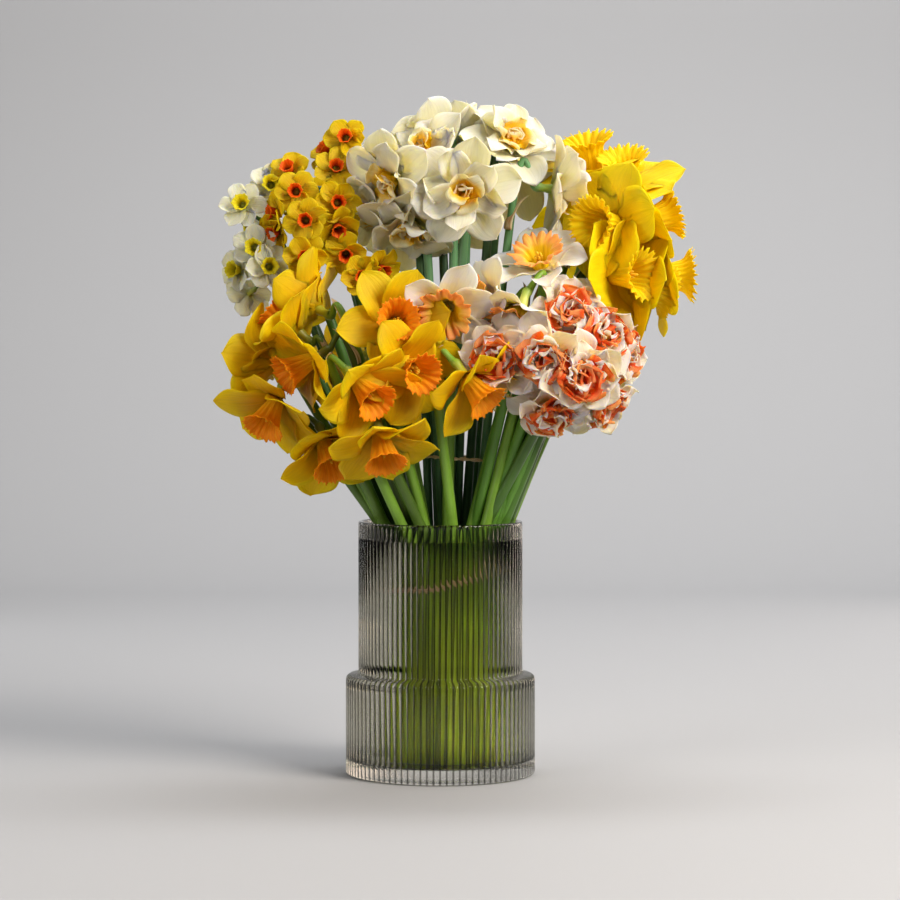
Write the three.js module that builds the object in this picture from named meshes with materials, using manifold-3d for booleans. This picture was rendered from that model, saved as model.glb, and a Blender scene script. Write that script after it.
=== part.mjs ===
// A hand-tied bouquet of daffodils, seven kinds in seven bunches, standing in a stepped vase of
// ribbed glass with water. Millimetres, +Z up, the front towards -Y. The origin is the centre of
// the vase's flat underside.

import * as THREE from 'three';
import { mergeVertices } from 'three/addons/utils/BufferGeometryUtils.js';
import Module from 'manifold-3d';

const wasm = await Module();
wasm.setup();

// ---- driving dimensions -----------------------------------------------------------------------

// Vase: a wide lower tier, a shoulder, and a narrower neck.
const VASE_HEIGHT = 200;
const TIER_RADIUS = 75;
const NECK_RADIUS = 65;
const SHOULDER_FOOT = 76;
const SHOULDER_TOP = 81;
const WALL = 4;
const TIER_WALL = 4.5;
const SHOULDER_WALL = 3;
const FLOOR_THICKNESS = 11.5;
const RIB_COUNT = 92;
const RIB_DEPTH = 0.9;
const INSIDE_SIDES = 32;

// Water: its level, and the slack between it and what it touches.
const WATER_LEVEL = 185;
const GAP = 0.3;
const CLEAR = GAP + 0.05;

// Stems: they meet in a round bundle at the lower tie and stand splayed on the vase's floor.
const STEM_RADIUS = 3.9;
const STEM_SIDES = 3;
const FOOT_LEVEL = FLOOR_THICKNESS + 1.2;
const BUNDLE_X = 8;
const FOOT_SHIFT = 5;
const RIM_LEVEL = VASE_HEIGHT + 2;
const LOWER_TIE_LEVEL = 146;
const SLOT_SPACING = 7.4;
const SLOT_RINGS = 4;
const FOOT_SPLAY = 1.32;
const FOOT_TWIST = 35;
const RIM_REACH = 56;
const NECK_OF_BLOOM = 16;
const FLORET_NECK = 12;
const KNEE_BACK = 33;
const KNEE_LIFT = 2;
const HEAD_KNEE_DROP = 26;
const HEAD_KNEE_PULL = 0.12;

// Half the bouquet's width and depth at the blooms, over which the bundle's places are shared out.
const BOUQUET_HALF_WIDTH = 150;
const BOUQUET_HALF_DEPTH = 95;

// Ties: a thin band round the whole bundle, in the water, and one round the white doubles' stems.
const TIE_THICKNESS = 1.8;
const TIE_SEAT = 3.6;
const UPPER_TIE_LEVEL = 250;

// Petals are plates of one thickness, widest at a share of their length, and parted by notches.
const PETAL_THICKNESS = 0.9;
const WIDEST = 0.58;
const NOTCH = 0.2;
const HUB_BACK = 4.5;

// Each kind of bloom: its ring of petals (their number, length, half width, how steeply they rise
// and how much they curl) and its cup or ruffle (length, radius at foot and mouth, sides, frill).
const KINDS = {
  goldenTrumpet: {
    ring: { count: 6, length: 44, half: 13, rise: 0.16, curl: 0.1 },
    cup: { length: 27, foot: 6, mouth: 14.5, sides: 12, frill: 1.4 },
    colour: 0xf2c400,
  },
  splitCup: {
    ring: { count: 6, length: 38, half: 12, rise: 0.2, curl: 0.1 },
    cup: { length: 16, foot: 6, mouth: 14, sides: 12, frill: 1.6 },
    colour: 0xf5f0e0,
  },
  coralDouble: {
    ring: { count: 6, length: 32, half: 10, rise: 0.22, curl: 0.1 },
    cup: { length: 13, foot: 5, mouth: 13, sides: 12, frill: 4 },
    colour: 0xf6c8ac,
  },
  whiteDouble: {
    ring: { count: 6, length: 40, half: 12.5, rise: 0.2, curl: 0.05 },
    cup: { length: 10, foot: 5.5, mouth: 11, sides: 6, frill: 1.6 },
    colour: 0xf3f0dd,
  },
  yellowTrumpet: {
    ring: { count: 6, length: 42, half: 13, rise: 0.3, curl: 0.1 },
    cup: { length: 32, foot: 6.5, mouth: 17, sides: 12, frill: 1.8 },
    colour: 0xffd400,
  },
  orangeFloret: {
    ring: { count: 6, length: 17, half: 0, rise: 0.15, curl: 0.1 },
    cup: { length: 5, foot: 3, mouth: 5.5, sides: 6, frill: 0.4 },
    colour: 0xe8a800,
  },
  limeFloret: {
    ring: { count: 6, length: 18, half: 0, rise: 0.12, curl: 0.05 },
    cup: { length: 6, foot: 3, mouth: 6.5, sides: 6, frill: 0.4 },
    colour: 0xd9dacb,
  },
};

// Where each bloom's heart is, the way it faces (degrees round from the front towards +X, and
// degrees up), and how far it is rolled about that way: x, y, z, azimuth, elevation, roll.
const BUNCHES = [
  { name: 'golden_trumpets', kind: 'goldenTrumpet', blooms: [
    [-127, -62, 291, -50, -68, 20],
    [-58, -104, 305, 50, -27, 12],
    [-24, -98, 318, 32, -14, 40],
    [-34, -84, 355, 8, 8, 8],
    [-45, -96, 264, 25, -76, 0],
    [22, -98, 311, 58, -44, 18],
    [-87, -78, 337, -80, -12, 0],
    [-108, -62, 359, -58, 6, 30],
    [-139, -30, 326, -105, 8, 10],
    [-88, -64, 261, 28, -48, 30],
    [-92, -50, 386, -45, 22, 20],
    [-64, 74, 330, -150, -8, 15],
    [-8, 90, 300, 176, -24, 0],
  ] },
  { name: 'split_cups', kind: 'splitCup', blooms: [
    [5, -84, 365, -10, -52, 10],
    [37, -62, 370, -62, 4, 0],
    [70, -72, 372, 12, -66, 20],
    [78, -58, 407, -18, 26, 0],
  ] },
  { name: 'coral_doubles', kind: 'coralDouble', blooms: [
    [97, -78, 361, 8, 12, 0],
    [45, -92, 329, -20, 2, 20],
    [78, -102, 330, -8, -20, 40],
    [122, -80, 344, 30, 14, 10],
    [135, -52, 332, 62, 2, 30],
    [84, -84, 292, -6, -52, 0],
    [122, -70, 298, 44, -42, 20],
    [106, -103, 315, 14, -6, 26],
    [88, 72, 330, 148, 0, 0],
    [50, 92, 316, 168, -14, 30],
  ] },
  { name: 'white_doubles', kind: 'whiteDouble', tied: true, blooms: [
    [18, -64, 457, -5, -10, 10],
    [-37, -46, 466, -42, -24, 30],
    [0, 10, 503, -150, 50, 0],
    [27, 14, 499, 168, 46, 20],
    [55, -16, 497, 32, 42, 40],
    [92, -20, 460, 100, -6, 15],
    [-14, -30, 487, -30, 34, 0],
    [-24, -30, 433, -26, -60, 10],
    [-50, -14, 448, -72, -36, 40],
    [20, 62, 455, 176, 2, 0],
    [62, 54, 482, 150, 28, 20],
    [-28, 58, 442, -160, -4, 30],
  ] },
  { name: 'yellow_trumpets', kind: 'yellowTrumpet', blooms: [
    [131, -34, 441, -40, 28, 10],
    [147, 2, 463, -18, 62, 30],
    [121, 22, 477, -30, 68, 0],
    [164, 4, 438, 108, 30, 20],
    [136, -40, 397, 62, 4, 10],
    [170, 0, 393, 96, 2, 30],
    [155, -26, 379, 64, -34, 0],
    [118, 64, 424, 150, 20, 10],
    [140, 52, 384, 128, -12, 40],
  ] },
];

// Heads of several florets: the knob at the top of the stem, and the florets round it.
const HEADS = [
  { name: 'orange_cup_head_top', kind: 'orangeFloret', knob: [-88, 12, 462], florets: [
    [-74, -18, 501, -10, 16, 0],
    [-91, 2, 493, -60, 30, 10],
    [-81, -26, 477, 5, 24, 20],
    [-112, -36, 458, -5, 6, 0],
    [-119, -12, 477, -24, 34, 30],
  ] },
  { name: 'orange_cup_head_low', kind: 'orangeFloret', knob: [-108, -8, 414], florets: [
    [-104, -46, 435, -4, -2, 15],
    [-104, -46, 407, 2, -8, 0],
    [-130, -26, 442, -66, 0, 20],
    [-129, -24, 427, -50, -24, 40],
  ] },
  { name: 'orange_cup_head_right', kind: 'orangeFloret', knob: [-62, -8, 408], florets: [
    [-79, -42, 449, 8, 2, 0],
    [-79, -40, 429, 14, -38, 30],
    [-60, -44, 392, 4, -12, 10],
    [-45, -40, 397, 36, -28, 0],
    [-73, -36, 409, 0, -20, 20],
  ] },
  { name: 'orange_cup_head_back', kind: 'orangeFloret', knob: [-84, 48, 432], florets: [
    [-98, 80, 462, -160, 22, 0],
    [-72, 86, 444, 175, 4, 20],
    [-100, 82, 424, -152, -12, 10],
  ] },
  { name: 'lime_cup_head_top', kind: 'limeFloret', knob: [-138, 14, 436], florets: [
    [-155, -18, 449, -12, 18, 0],
    [-133, -8, 465, 4, 14, 20],
    [-149, -6, 430, -80, -6, 40],
  ] },
  { name: 'lime_cup_head_low', kind: 'limeFloret', knob: [-134, 6, 394], florets: [
    [-145, -24, 415, -10, 4, 30],
    [-133, -30, 400, 10, 2, 0],
    [-161, -8, 398, -44, 4, 10],
    [-152, -6, 377, -150, -24, 0],
  ] },
  { name: 'lime_cup_head_back', kind: 'limeFloret', knob: [-128, 46, 412], florets: [
    [-146, 74, 438, -150, 20, 0],
    [-142, 78, 410, -156, -4, 30],
  ] },
];

// ---- joining and cutting ----------------------------------------------------------------------

const rad = THREE.MathUtils.degToRad;
const vec = (x, y, z) => new THREE.Vector3(x, y, z);

// A closed geometry as a solid: its shared corners merged, its flat triangles dropped.
function solidOf(geometry) {
  const bare = geometry.clone();
  bare.deleteAttribute('normal');
  bare.deleteAttribute('uv');
  const merged = mergeVertices(bare, 1e-3);
  const corners = merged.index.array;
  const kept = [];
  for (let i = 0; i < corners.length; i += 3) {
    const [a, b, c] = [corners[i], corners[i + 1], corners[i + 2]];
    if (a !== b && b !== c && c !== a) kept.push(a, b, c);
  }
  const mesh = new wasm.Mesh({
    numProp: 3,
    vertProperties: new Float32Array(merged.attributes.position.array),
    triVerts: new Uint32Array(kept),
  });
  return new wasm.Manifold(mesh);
}

function unite(solids) {
  return solids.reduce((sum, solid) => sum.add(solid));
}

// The closed bodies of a solid, largest first, without its sealed hollows.
function bodiesOf(solid) {
  const bodies = solid.decompose().filter((body) => body.volume() > 0);
  return bodies.sort((a, b) => b.volume() - a.volume());
}

function geometryOf(solid) {
  const mesh = solid.getMesh();
  const points = new Float32Array(mesh.numVert * 3);
  for (let i = 0; i < mesh.numVert; i += 1) {
    for (let axis = 0; axis < 3; axis += 1) {
      points[3 * i + axis] = mesh.vertProperties[mesh.numProp * i + axis];
    }
  }
  const geometry = new THREE.BufferGeometry();
  geometry.setAttribute('position', new THREE.BufferAttribute(points, 3));
  geometry.setIndex(new THREE.BufferAttribute(new Uint32Array(mesh.triVerts), 1));
  return geometry;
}

const bouquet = new THREE.Group();

function addNode(name, solid, colour, roughness, metalness = 0) {
  const material = new THREE.MeshStandardMaterial({ color: colour, roughness, metalness });
  const mesh = new THREE.Mesh(geometryOf(solid), material);
  mesh.name = name;
  bouquet.add(mesh);
}

// ---- vase and water ---------------------------------------------------------------------------

// A solid of revolution about Z from [radius, height] points that start and end on the axis.
function turned(profile, sides) {
  const points = profile.map(([radius, height]) => new THREE.Vector2(radius, height));
  const geometry = new THREE.LatheGeometry(points, sides);
  geometry.rotateX(Math.PI / 2);
  return geometry;
}

// The inside of the vase, drawn in by a slack and cut off at a height.
function insideProfile(slack, top) {
  const tier = TIER_RADIUS - TIER_WALL - slack;
  const neck = NECK_RADIUS - WALL - slack;
  return [
    [0, FLOOR_THICKNESS + slack],
    [tier, FLOOR_THICKNESS + slack],
    [tier, SHOULDER_FOOT - SHOULDER_WALL - slack],
    [neck, SHOULDER_TOP - SHOULDER_WALL - slack],
    [neck, top],
    [0, top],
  ];
}

// Upright ribs all round: every second line of the turned wall is drawn in by the ribs' depth.
function makeVase() {
  const outside = turned([
    [0, 0],
    [TIER_RADIUS, 0],
    [TIER_RADIUS, SHOULDER_FOOT],
    [NECK_RADIUS, SHOULDER_TOP],
    [NECK_RADIUS, VASE_HEIGHT],
    [0, VASE_HEIGHT],
  ], 2 * RIB_COUNT);
  const place = outside.attributes.position;
  for (let i = 0; i < place.count; i += 1) {
    const radius = Math.hypot(place.getX(i), place.getY(i));
    const turn = Math.atan2(place.getY(i), place.getX(i)) / (2 * Math.PI);
    const line = Math.round(turn * 2 * RIB_COUNT);
    const drawn = radius > 1 && line % 2 !== 0 ? (radius - RIB_DEPTH) / radius : 1;
    place.setXY(i, place.getX(i) * drawn, place.getY(i) * drawn);
  }
  const inside = turned(insideProfile(0, VASE_HEIGHT + 1), INSIDE_SIDES);
  return solidOf(outside).subtract(solidOf(inside));
}

// ---- stems ------------------------------------------------------------------------------------

// Places in the bundle where it is tied: a honeycomb of rings round its middle.
function honeycomb() {
  const slots = [];
  for (let row = -SLOT_RINGS; row <= SLOT_RINGS; row += 1) {
    const inRow = 2 * SLOT_RINGS + 1 - Math.abs(row);
    for (let i = 0; i < inRow; i += 1) {
      const x = (i - (inRow - 1) / 2) * SLOT_SPACING;
      const y = row * SLOT_SPACING * Math.sqrt(3) / 2;
      slots.push({ x, y, free: true });
    }
  }
  return slots;
}

const slots = honeycomb();
const BUNDLE_RADIUS = SLOT_RINGS * SLOT_SPACING;

// The free place nearest to where a bloom's heart lies over the bundle.
function takeSlot(x, y) {
  const wishX = (x - BUNDLE_X) * BUNDLE_RADIUS / BOUQUET_HALF_WIDTH;
  const wishY = y * BUNDLE_RADIUS / BOUQUET_HALF_DEPTH;
  let best = null;
  for (const slot of slots) {
    const far = Math.hypot(slot.x - wishX, slot.y - wishY);
    if (slot.free && (best === null || far < best.far)) best = { slot, far };
  }
  best.slot.free = false;
  return best.slot;
}

// The way that something faces, from its degrees round and up.
function facing(azimuth, elevation) {
  const [a, e] = [rad(azimuth), rad(elevation)];
  return vec(Math.sin(a) * Math.cos(e), -Math.cos(a) * Math.cos(e), Math.sin(e));
}

// A smooth path that takes its points at even steps, so that each ring of the stem is at a point.
class StemPath extends THREE.CatmullRomCurve3 {
  getUtoTmapping(u) {
    return u;
  }
}

// A round rod along points.
function rod(points, radius, sides) {
  const section = new THREE.Shape();
  for (let i = 0; i < sides; i += 1) {
    const turn = (i / sides) * 2 * Math.PI;
    const [x, y] = [radius * Math.cos(turn), radius * Math.sin(turn)];
    if (i === 0) section.moveTo(x, y);
    else section.lineTo(x, y);
  }
  section.closePath();
  return new THREE.ExtrudeGeometry(section, {
    extrudePath: new StemPath(points),
    steps: points.length - 1,
    bevelEnabled: false,
  });
}

// A stem's points: foot, lower tie, rim of the vase, and on to the knee behind the bloom.
function stemPoints(slot, knee, end) {
  const twist = rad(FOOT_TWIST);
  const foot = vec(
    BUNDLE_X - FOOT_SHIFT + FOOT_SPLAY * (slot.x * Math.cos(twist) - slot.y * Math.sin(twist)),
    FOOT_SPLAY * (slot.x * Math.sin(twist) + slot.y * Math.cos(twist)),
    FOOT_LEVEL,
  );
  const tie = vec(BUNDLE_X + slot.x, slot.y, LOWER_TIE_LEVEL);
  const rise = (RIM_LEVEL - tie.z) / (knee.z - tie.z);
  const rim = tie.clone().lerp(knee, rise);
  const reach = Math.hypot(rim.x, rim.y);
  if (reach > RIM_REACH) {
    rim.x *= RIM_REACH / reach;
    rim.y *= RIM_REACH / reach;
  }
  return [foot, tie, rim, knee, end];
}

// The stem of one bloom, which bends over at a knee and ends at the back of the bloom.
function bloomStem([x, y, z, azimuth, elevation]) {
  const way = facing(azimuth, elevation);
  const heart = vec(x, y, z);
  const end = heart.clone().addScaledVector(way, -NECK_OF_BLOOM - GAP);
  const knee = heart.clone().addScaledVector(way, -KNEE_BACK);
  knee.z += KNEE_LIFT;
  return stemPoints(takeSlot(x, y), knee, end);
}

// The stem of a head of florets, which ends under the head's knob.
const KNOB_RADIUS = 4;
function headStem([x, y, z]) {
  const end = vec(x, y, z - KNOB_RADIUS - GAP);
  const knee = end.clone().add(vec(-HEAD_KNEE_PULL * x, -HEAD_KNEE_PULL * y, -HEAD_KNEE_DROP));
  return stemPoints(takeSlot(x, y), knee, end);
}

// ---- blooms -----------------------------------------------------------------------------------

// A closed body through rings of points, from a single point at its back to one at its front.
// Each ring is a list of { turn, place } in order of turn, and neighbouring rings need not have
// as many points: the wall between them takes whichever next point comes first.
function lofted(rings) {
  const points = [];
  const faces = [];
  const indexed = rings.map((ring) => ring.map(({ turn, place }) => {
    points.push(place);
    return { turn, index: points.length - 1 };
  }));
  for (let k = 1; k < indexed.length; k += 1) {
    const [low, high] = [indexed[k - 1], indexed[k]];
    let [i, j] = [0, 0];
    const turnAt = (ring, n) => {
      if (ring.length === 1) return Infinity;
      return ring[n % ring.length].turn + 2 * Math.PI * Math.floor(n / ring.length);
    };
    const lowSteps = low.length === 1 ? 0 : low.length;
    const highSteps = high.length === 1 ? 0 : high.length;
    while (i < lowSteps || j < highSteps) {
      const lowNext = i < lowSteps ? turnAt(low, i + 1) : Infinity;
      const highNext = j < highSteps ? turnAt(high, j + 1) : Infinity;
      const here = low[i % low.length].index;
      const there = high[j % high.length].index;
      if (lowNext <= highNext) {
        faces.push(here, low[(i + 1) % low.length].index, there);
        i += 1;
      } else {
        faces.push(here, high[(j + 1) % high.length].index, there);
        j += 1;
      }
    }
  }
  const geometry = new THREE.BufferGeometry().setFromPoints(points);
  geometry.setIndex(faces);
  return geometry;
}

function ringPoint(radius, turn, z) {
  return { turn, place: vec(radius * Math.cos(turn), radius * Math.sin(turn), z) };
}

// A round ring that starts at the first notch of a ring of petals.
function roundRing(radius, z, sides, count) {
  return Array.from({ length: sides }, (_, i) => (
    ringPoint(radius, (i / sides) * 2 * Math.PI - Math.PI / count, z)));
}

// A petal's outline from its first notch to before its second, for its front (face 1) or its
// back (face -1). It runs out from the bloom's axis, and rises and curls towards the front. A
// petal with no width of its own runs straight from its notches to its tip. The notches keep the
// ring's own rise, so that neighbours share them.
function petalOutline(ring, middle, rise, face, grow) {
  const half = Math.PI / ring.count;
  const at = (u, side, steep, turn = middle) => {
    const out = ring.length * u + (u === 1 ? 2 : 1) * grow;
    const lift = -HUB_BACK + ring.length * (steep * u + ring.curl * u * u);
    const thick = face * (PETAL_THICKNESS / 2 + grow) * Math.hypot(1, steep);
    return ringPoint(Math.hypot(out, side), turn + Math.atan2(side, out), lift + thick);
  };
  const notch = at(ring.half > 0 ? NOTCH : 2 * NOTCH, 0, ring.rise, middle - half);
  const wide = ring.half + grow;
  if (ring.half === 0) return [notch, at(1, 0, rise)];
  return [notch, at(WIDEST, -wide, rise), at(1, 0, rise), at(WIDEST, wide, rise)];
}

function outlineOf(ring, rises, face, grow) {
  return rises.flatMap((rise, i) => (
    petalOutline(ring, (i / ring.count) * 2 * Math.PI, rise, face, grow)));
}

// One petal alone, to try where it has room.
function lonePetal(ring, middle, rise, grow) {
  const half = Math.PI / ring.count;
  const edge = (face) => {
    const points = petalOutline(ring, middle, rise, face, grow);
    const { place } = points[0];
    const end = place.clone().applyAxisAngle(vec(0, 0, 1), 2 * half);
    const hub = vec(0, 0, place.z);
    return [...points, { turn: middle + half, place: end }, { turn: middle + Math.PI, place: hub }];
  };
  const [back, front] = [edge(-1), edge(1)];
  const heartOf = (points) => {
    const place = points[0].place.clone().lerp(points.at(-2).place, 0.5);
    return [{ turn: 0, place }];
  };
  return lofted([heartOf(back), back, front, heartOf(front)]);
}

// The neck, the ring of petals and the cup of a bloom, as one body. The neck widens under the
// petals. The cup is hollow to its floor, and its rim is frilled.
const NECK_SIDES = 4;
const BLOOM_NECK_RADIUS = 3.4;
const NECK_FLARE = 0.8;
const CUP_FOOT_RISE = 1.2;
const CUP_FLOOR = 2;
function bloomShell({ ring, cup }, neckLength, rises, grow) {
  const foot = cup.foot + grow;
  const rim = roundRing(cup.mouth + grow, cup.length + grow, cup.sides, ring.count);
  const frilled = rim.map(({ turn, place }, i) => {
    const wave = cup.frill * (i % 2 === 0 ? 1 : -1);
    return ringPoint(cup.mouth + grow + wave, turn, place.z + wave);
  });
  const floor = grow > 0 ? cup.length + grow : CUP_FLOOR;
  const middleBack = ringPoint(0, 0, -neckLength - grow);
  const middleFront = ringPoint(0, 0, floor);
  return lofted([
    [middleBack],
    roundRing(BLOOM_NECK_RADIUS + grow, -neckLength - grow, NECK_SIDES, ring.count),
    roundRing(cup.foot * NECK_FLARE + grow, -HUB_BACK - PETAL_THICKNESS, NECK_SIDES, ring.count),
    outlineOf(ring, rises, -1, grow),
    outlineOf(ring, rises, 1, grow),
    roundRing(foot, -HUB_BACK + CUP_FOOT_RISE + grow, cup.sides, ring.count),
    frilled,
    [middleFront],
  ]);
}

// Neck and cup alone: the room that a bloom's middle takes.
function bloomMiddle({ ring, cup }, neckLength, grow) {
  const top = cup.length + grow + cup.frill;
  const wide = cup.mouth + grow + cup.frill;
  return lofted([
    [ringPoint(0, 0, -neckLength - grow)],
    roundRing(BLOOM_NECK_RADIUS + grow, -neckLength - grow, NECK_SIDES, ring.count),
    roundRing(cup.foot + grow, -HUB_BACK, NECK_SIDES, ring.count),
    roundRing(wide, top, cup.sides, ring.count),
    [ringPoint(0, 0, top)],
  ]);
}

// A bloom's own frame: Z along the way it faces, the other two turned by the roll.
function bloomFrame([x, y, z, azimuth, elevation, roll]) {
  const way = facing(azimuth, elevation);
  const right = vec(Math.cos(rad(azimuth)), Math.sin(rad(azimuth)), 0);
  const up = way.clone().cross(right);
  const frame = new THREE.Matrix4().makeBasis(right, up, way).setPosition(x, y, z);
  return frame.multiply(new THREE.Matrix4().makeRotationZ(rad(roll)));
}

function placed(geometry, frame) {
  return solidOf(geometry.clone().applyMatrix4(frame));
}

// How much of a solid lies in those of the others whose boxes it reaches.
function overlap(solid, others) {
  const box = solid.boundingBox();
  let volume = 0;
  for (const other of others) {
    const reach = other.boundingBox();
    const apart = [0, 1, 2].some((axis) => (
      box.min[axis] > reach.max[axis] || box.max[axis] < reach.min[axis]));
    if (apart) continue;
    const common = solid.intersect(other);
    volume += common.volume();
    common.delete();
  }
  return volume;
}

// How steeply each petal rises: as its ring does, or bent forward or back until it is clear.
const BENDS = [0, 0.2, -0.2, 0.4, -0.4, 0.65, 0.9, -0.6];
function clearRises(ring, frame, rooms) {
  return Array.from({ length: ring.count }, (_, i) => {
    const middle = (i / ring.count) * 2 * Math.PI;
    let best = { bend: 0, volume: Infinity };
    for (const bend of BENDS) {
      const tried = placed(lonePetal(ring, middle, ring.rise + bend, CLEAR), frame);
      const volume = overlap(tried, rooms);
      tried.delete();
      if (volume < best.volume) best = { bend, volume };
      if (volume === 0) break;
    }
    return ring.rise + best.bend;
  });
}

// A solid cut clear of the things that it really meets, each of which has its own room round it.
const TOUCH = 0.004;
function cutClear(solid, things) {
  return things.reduce((left, { bare, room }) => (
    overlap(left, [bare]) > TOUCH ? left.subtract(room).subtract(bare) : left), solid);
}

// ---- stems put together -----------------------------------------------------------------------

const stemPaths = [];
const tiedPaths = [];
for (const bunch of BUNCHES) {
  for (const row of bunch.blooms) {
    const path = bloomStem(row);
    stemPaths.push(path);
    if (bunch.tied) tiedPaths.push(path);
  }
}
for (const head of HEADS) stemPaths.push(headStem(head.knob));

// The stems, with a core where they are pressed together, hidden among them.
const CORE_HEIGHT = 10;
const CORE_SIDES = 8;
function makeStems(grow) {
  const rods = stemPaths.map((path) => solidOf(rod(path, STEM_RADIUS + grow, STEM_SIDES)));
  const core = turned([
    [0, -CORE_HEIGHT / 2],
    [BUNDLE_RADIUS, -CORE_HEIGHT / 2],
    [BUNDLE_RADIUS, CORE_HEIGHT / 2],
    [0, CORE_HEIGHT / 2],
  ], CORE_SIDES);
  core.translate(BUNDLE_X, 0, LOWER_TIE_LEVEL);
  return unite([...rods, solidOf(core)]);
}

const stems = bodiesOf(makeStems(0))[0];
const stemThing = { bare: stems, room: makeStems(CLEAR) };
addNode('stems', stems, 0x4f8a3a, 0.5);

// ---- heads of florets -------------------------------------------------------------------------

const STALK_RADIUS = 1.3;
const STALK_SIDES = 3;
const STALK_BEND = 8;
const STALK_PULL = 0.2;

// A head's knob, and a thin stalk from it to the back of each floret.
function headFrame({ knob, florets }, grow) {
  const middle = vec(...knob);
  const ball = new THREE.OctahedronGeometry(KNOB_RADIUS + grow, 0).translate(...knob);
  const stalks = florets.map(([x, y, z, azimuth, elevation]) => {
    const way = facing(azimuth, elevation);
    const heart = vec(x, y, z);
    const back = heart.clone().addScaledVector(way, -FLORET_NECK + 1);
    const bend = heart.clone().addScaledVector(way, -FLORET_NECK - STALK_BEND);
    bend.lerp(middle, STALK_PULL);
    return solidOf(rod([middle, bend, back], STALK_RADIUS + grow, STALK_SIDES));
  });
  return unite([solidOf(ball), ...stalks]);
}

const headThings = HEADS.map((head) => ({
  bare: headFrame(head, 0).subtract(stemThing.room),
  room: headFrame(head, CLEAR),
  owner: head.name,
}));

// ---- blooms put together ----------------------------------------------------------------------

// Blooms that face the back have plain pointed petals and plain cups.
const BEHIND = 125;
const PLAIN_CUP_SIDES = 6;
function kindOf(name, azimuth) {
  const kind = KINDS[name];
  if (Math.abs(azimuth) <= BEHIND) return kind;
  const ring = { ...kind.ring, half: 0 };
  const cup = { ...kind.cup, sides: PLAIN_CUP_SIDES };
  return { ...kind, ring, cup };
}

const blooms = [];
function addBloom(name, kindName, row, neckLength) {
  const kind = kindOf(kindName, row[3]);
  const frame = bloomFrame(row);
  const middleOf = (grow) => placed(bloomMiddle(kind, neckLength, grow), frame);
  const middle = { bare: middleOf(0), room: middleOf(CLEAR) };
  blooms.push({ name, kind, neckLength, frame, middle });
}
for (const { name, kind, blooms: rows } of BUNCHES) {
  rows.forEach((row, i) => addBloom(`${name}_${i + 1}`, kind, row, NECK_OF_BLOOM));
}
for (const { name, kind, florets } of HEADS) {
  florets.forEach((row) => addBloom(name, kind, row, FLORET_NECK));
}

// Each bloom keeps clear of the stems, the heads' stalks, the middles of all other blooms and the
// petals that are finished before it.
const finished = [...headThings];
for (const bloom of blooms) {
  const { name, kind, neckLength, frame } = bloom;
  const middles = blooms.filter((other) => other !== bloom).map((other) => other.middle);
  const things = [stemThing, ...middles, ...finished.filter(({ owner }) => owner !== name)];
  const rises = clearRises(kind.ring, frame, things.map(({ room }) => room));
  const whole = placed(bloomShell(kind, neckLength, rises, 0), frame);
  const room = placed(bloomShell(kind, neckLength, rises, CLEAR), frame);
  [bloom.body] = bodiesOf(cutClear(whole, things));
  finished.push({ bare: bloom.body, room, owner: name });
}

for (const { name, blooms: rows } of BUNCHES) {
  rows.forEach((_, i) => {
    const { body, kind } = blooms.find((bloom) => bloom.name === `${name}_${i + 1}`);
    addNode(`${name}_${i + 1}`, body, kind.colour, 0.6);
  });
}
HEADS.forEach(({ name, kind }, i) => {
  const florets = blooms.filter((bloom) => bloom.name === name).map(({ body }) => body);
  const bodies = bodiesOf(unite([headThings[i].bare, ...florets]));
  addNode(name, bodies[0], KINDS[kind].colour, 0.6);
});

// ---- water, ties and vase -----------------------------------------------------------------------

// The middle of the bundle at a height, and how far the stems there reach from it. Between two
// of a stem's points both change evenly, so that a straight wall between them holds the stem.
function bundleMiddle(z) {
  if (z < LOWER_TIE_LEVEL) return BUNDLE_X - FOOT_SHIFT * (1 - z / LOWER_TIE_LEVEL);
  return BUNDLE_X * (1 - (z - LOWER_TIE_LEVEL) / (RIM_LEVEL - LOWER_TIE_LEVEL));
}

function pathAt(path, z) {
  const i = path.findIndex((point, k) => k > 0 && point.z >= z);
  const [a, b] = [path[i - 1], path[i]];
  return a.clone().lerp(b, (z - a.z) / (b.z - a.z));
}

function reachOf(points, x, y) {
  return Math.max(...points.map((point) => Math.hypot(point.x - x, point.y - y)));
}

// Water fills the vase to its level, with one plain hole that the bundle and its tie stand in.
const HOLE_SIDES = 16;
const HOLE_SLACK = 1;
const TIE_ROOM = 7;
function makeWater() {
  const body = solidOf(turned(insideProfile(GAP, WATER_LEVEL), INSIDE_SIDES));
  const hole = [FOOT_LEVEL, LOWER_TIE_LEVEL, RIM_LEVEL].map((z) => {
    const x = bundleMiddle(z);
    const reach = reachOf(stemPaths.map((path) => pathAt(path, z)), x, 0);
    const room = z === LOWER_TIE_LEVEL ? TIE_ROOM : 0;
    const radius = (reach + STEM_RADIUS + HOLE_SLACK + room) / Math.cos(Math.PI / HOLE_SIDES);
    const ring = roundRing(radius, z, HOLE_SIDES, HOLE_SIDES);
    ring.forEach(({ place }) => place.add(vec(x, 0, 0)));
    return ring;
  });
  const below = hole[0].map(({ turn, place }) => ({ turn, place: place.clone().setZ(0) }));
  const [foot, top] = [ringPoint(0, 0, 0), ringPoint(0, 0, RIM_LEVEL)];
  return body.subtract(solidOf(lofted([[foot], below, ...hole, [top]])));
}

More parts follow.
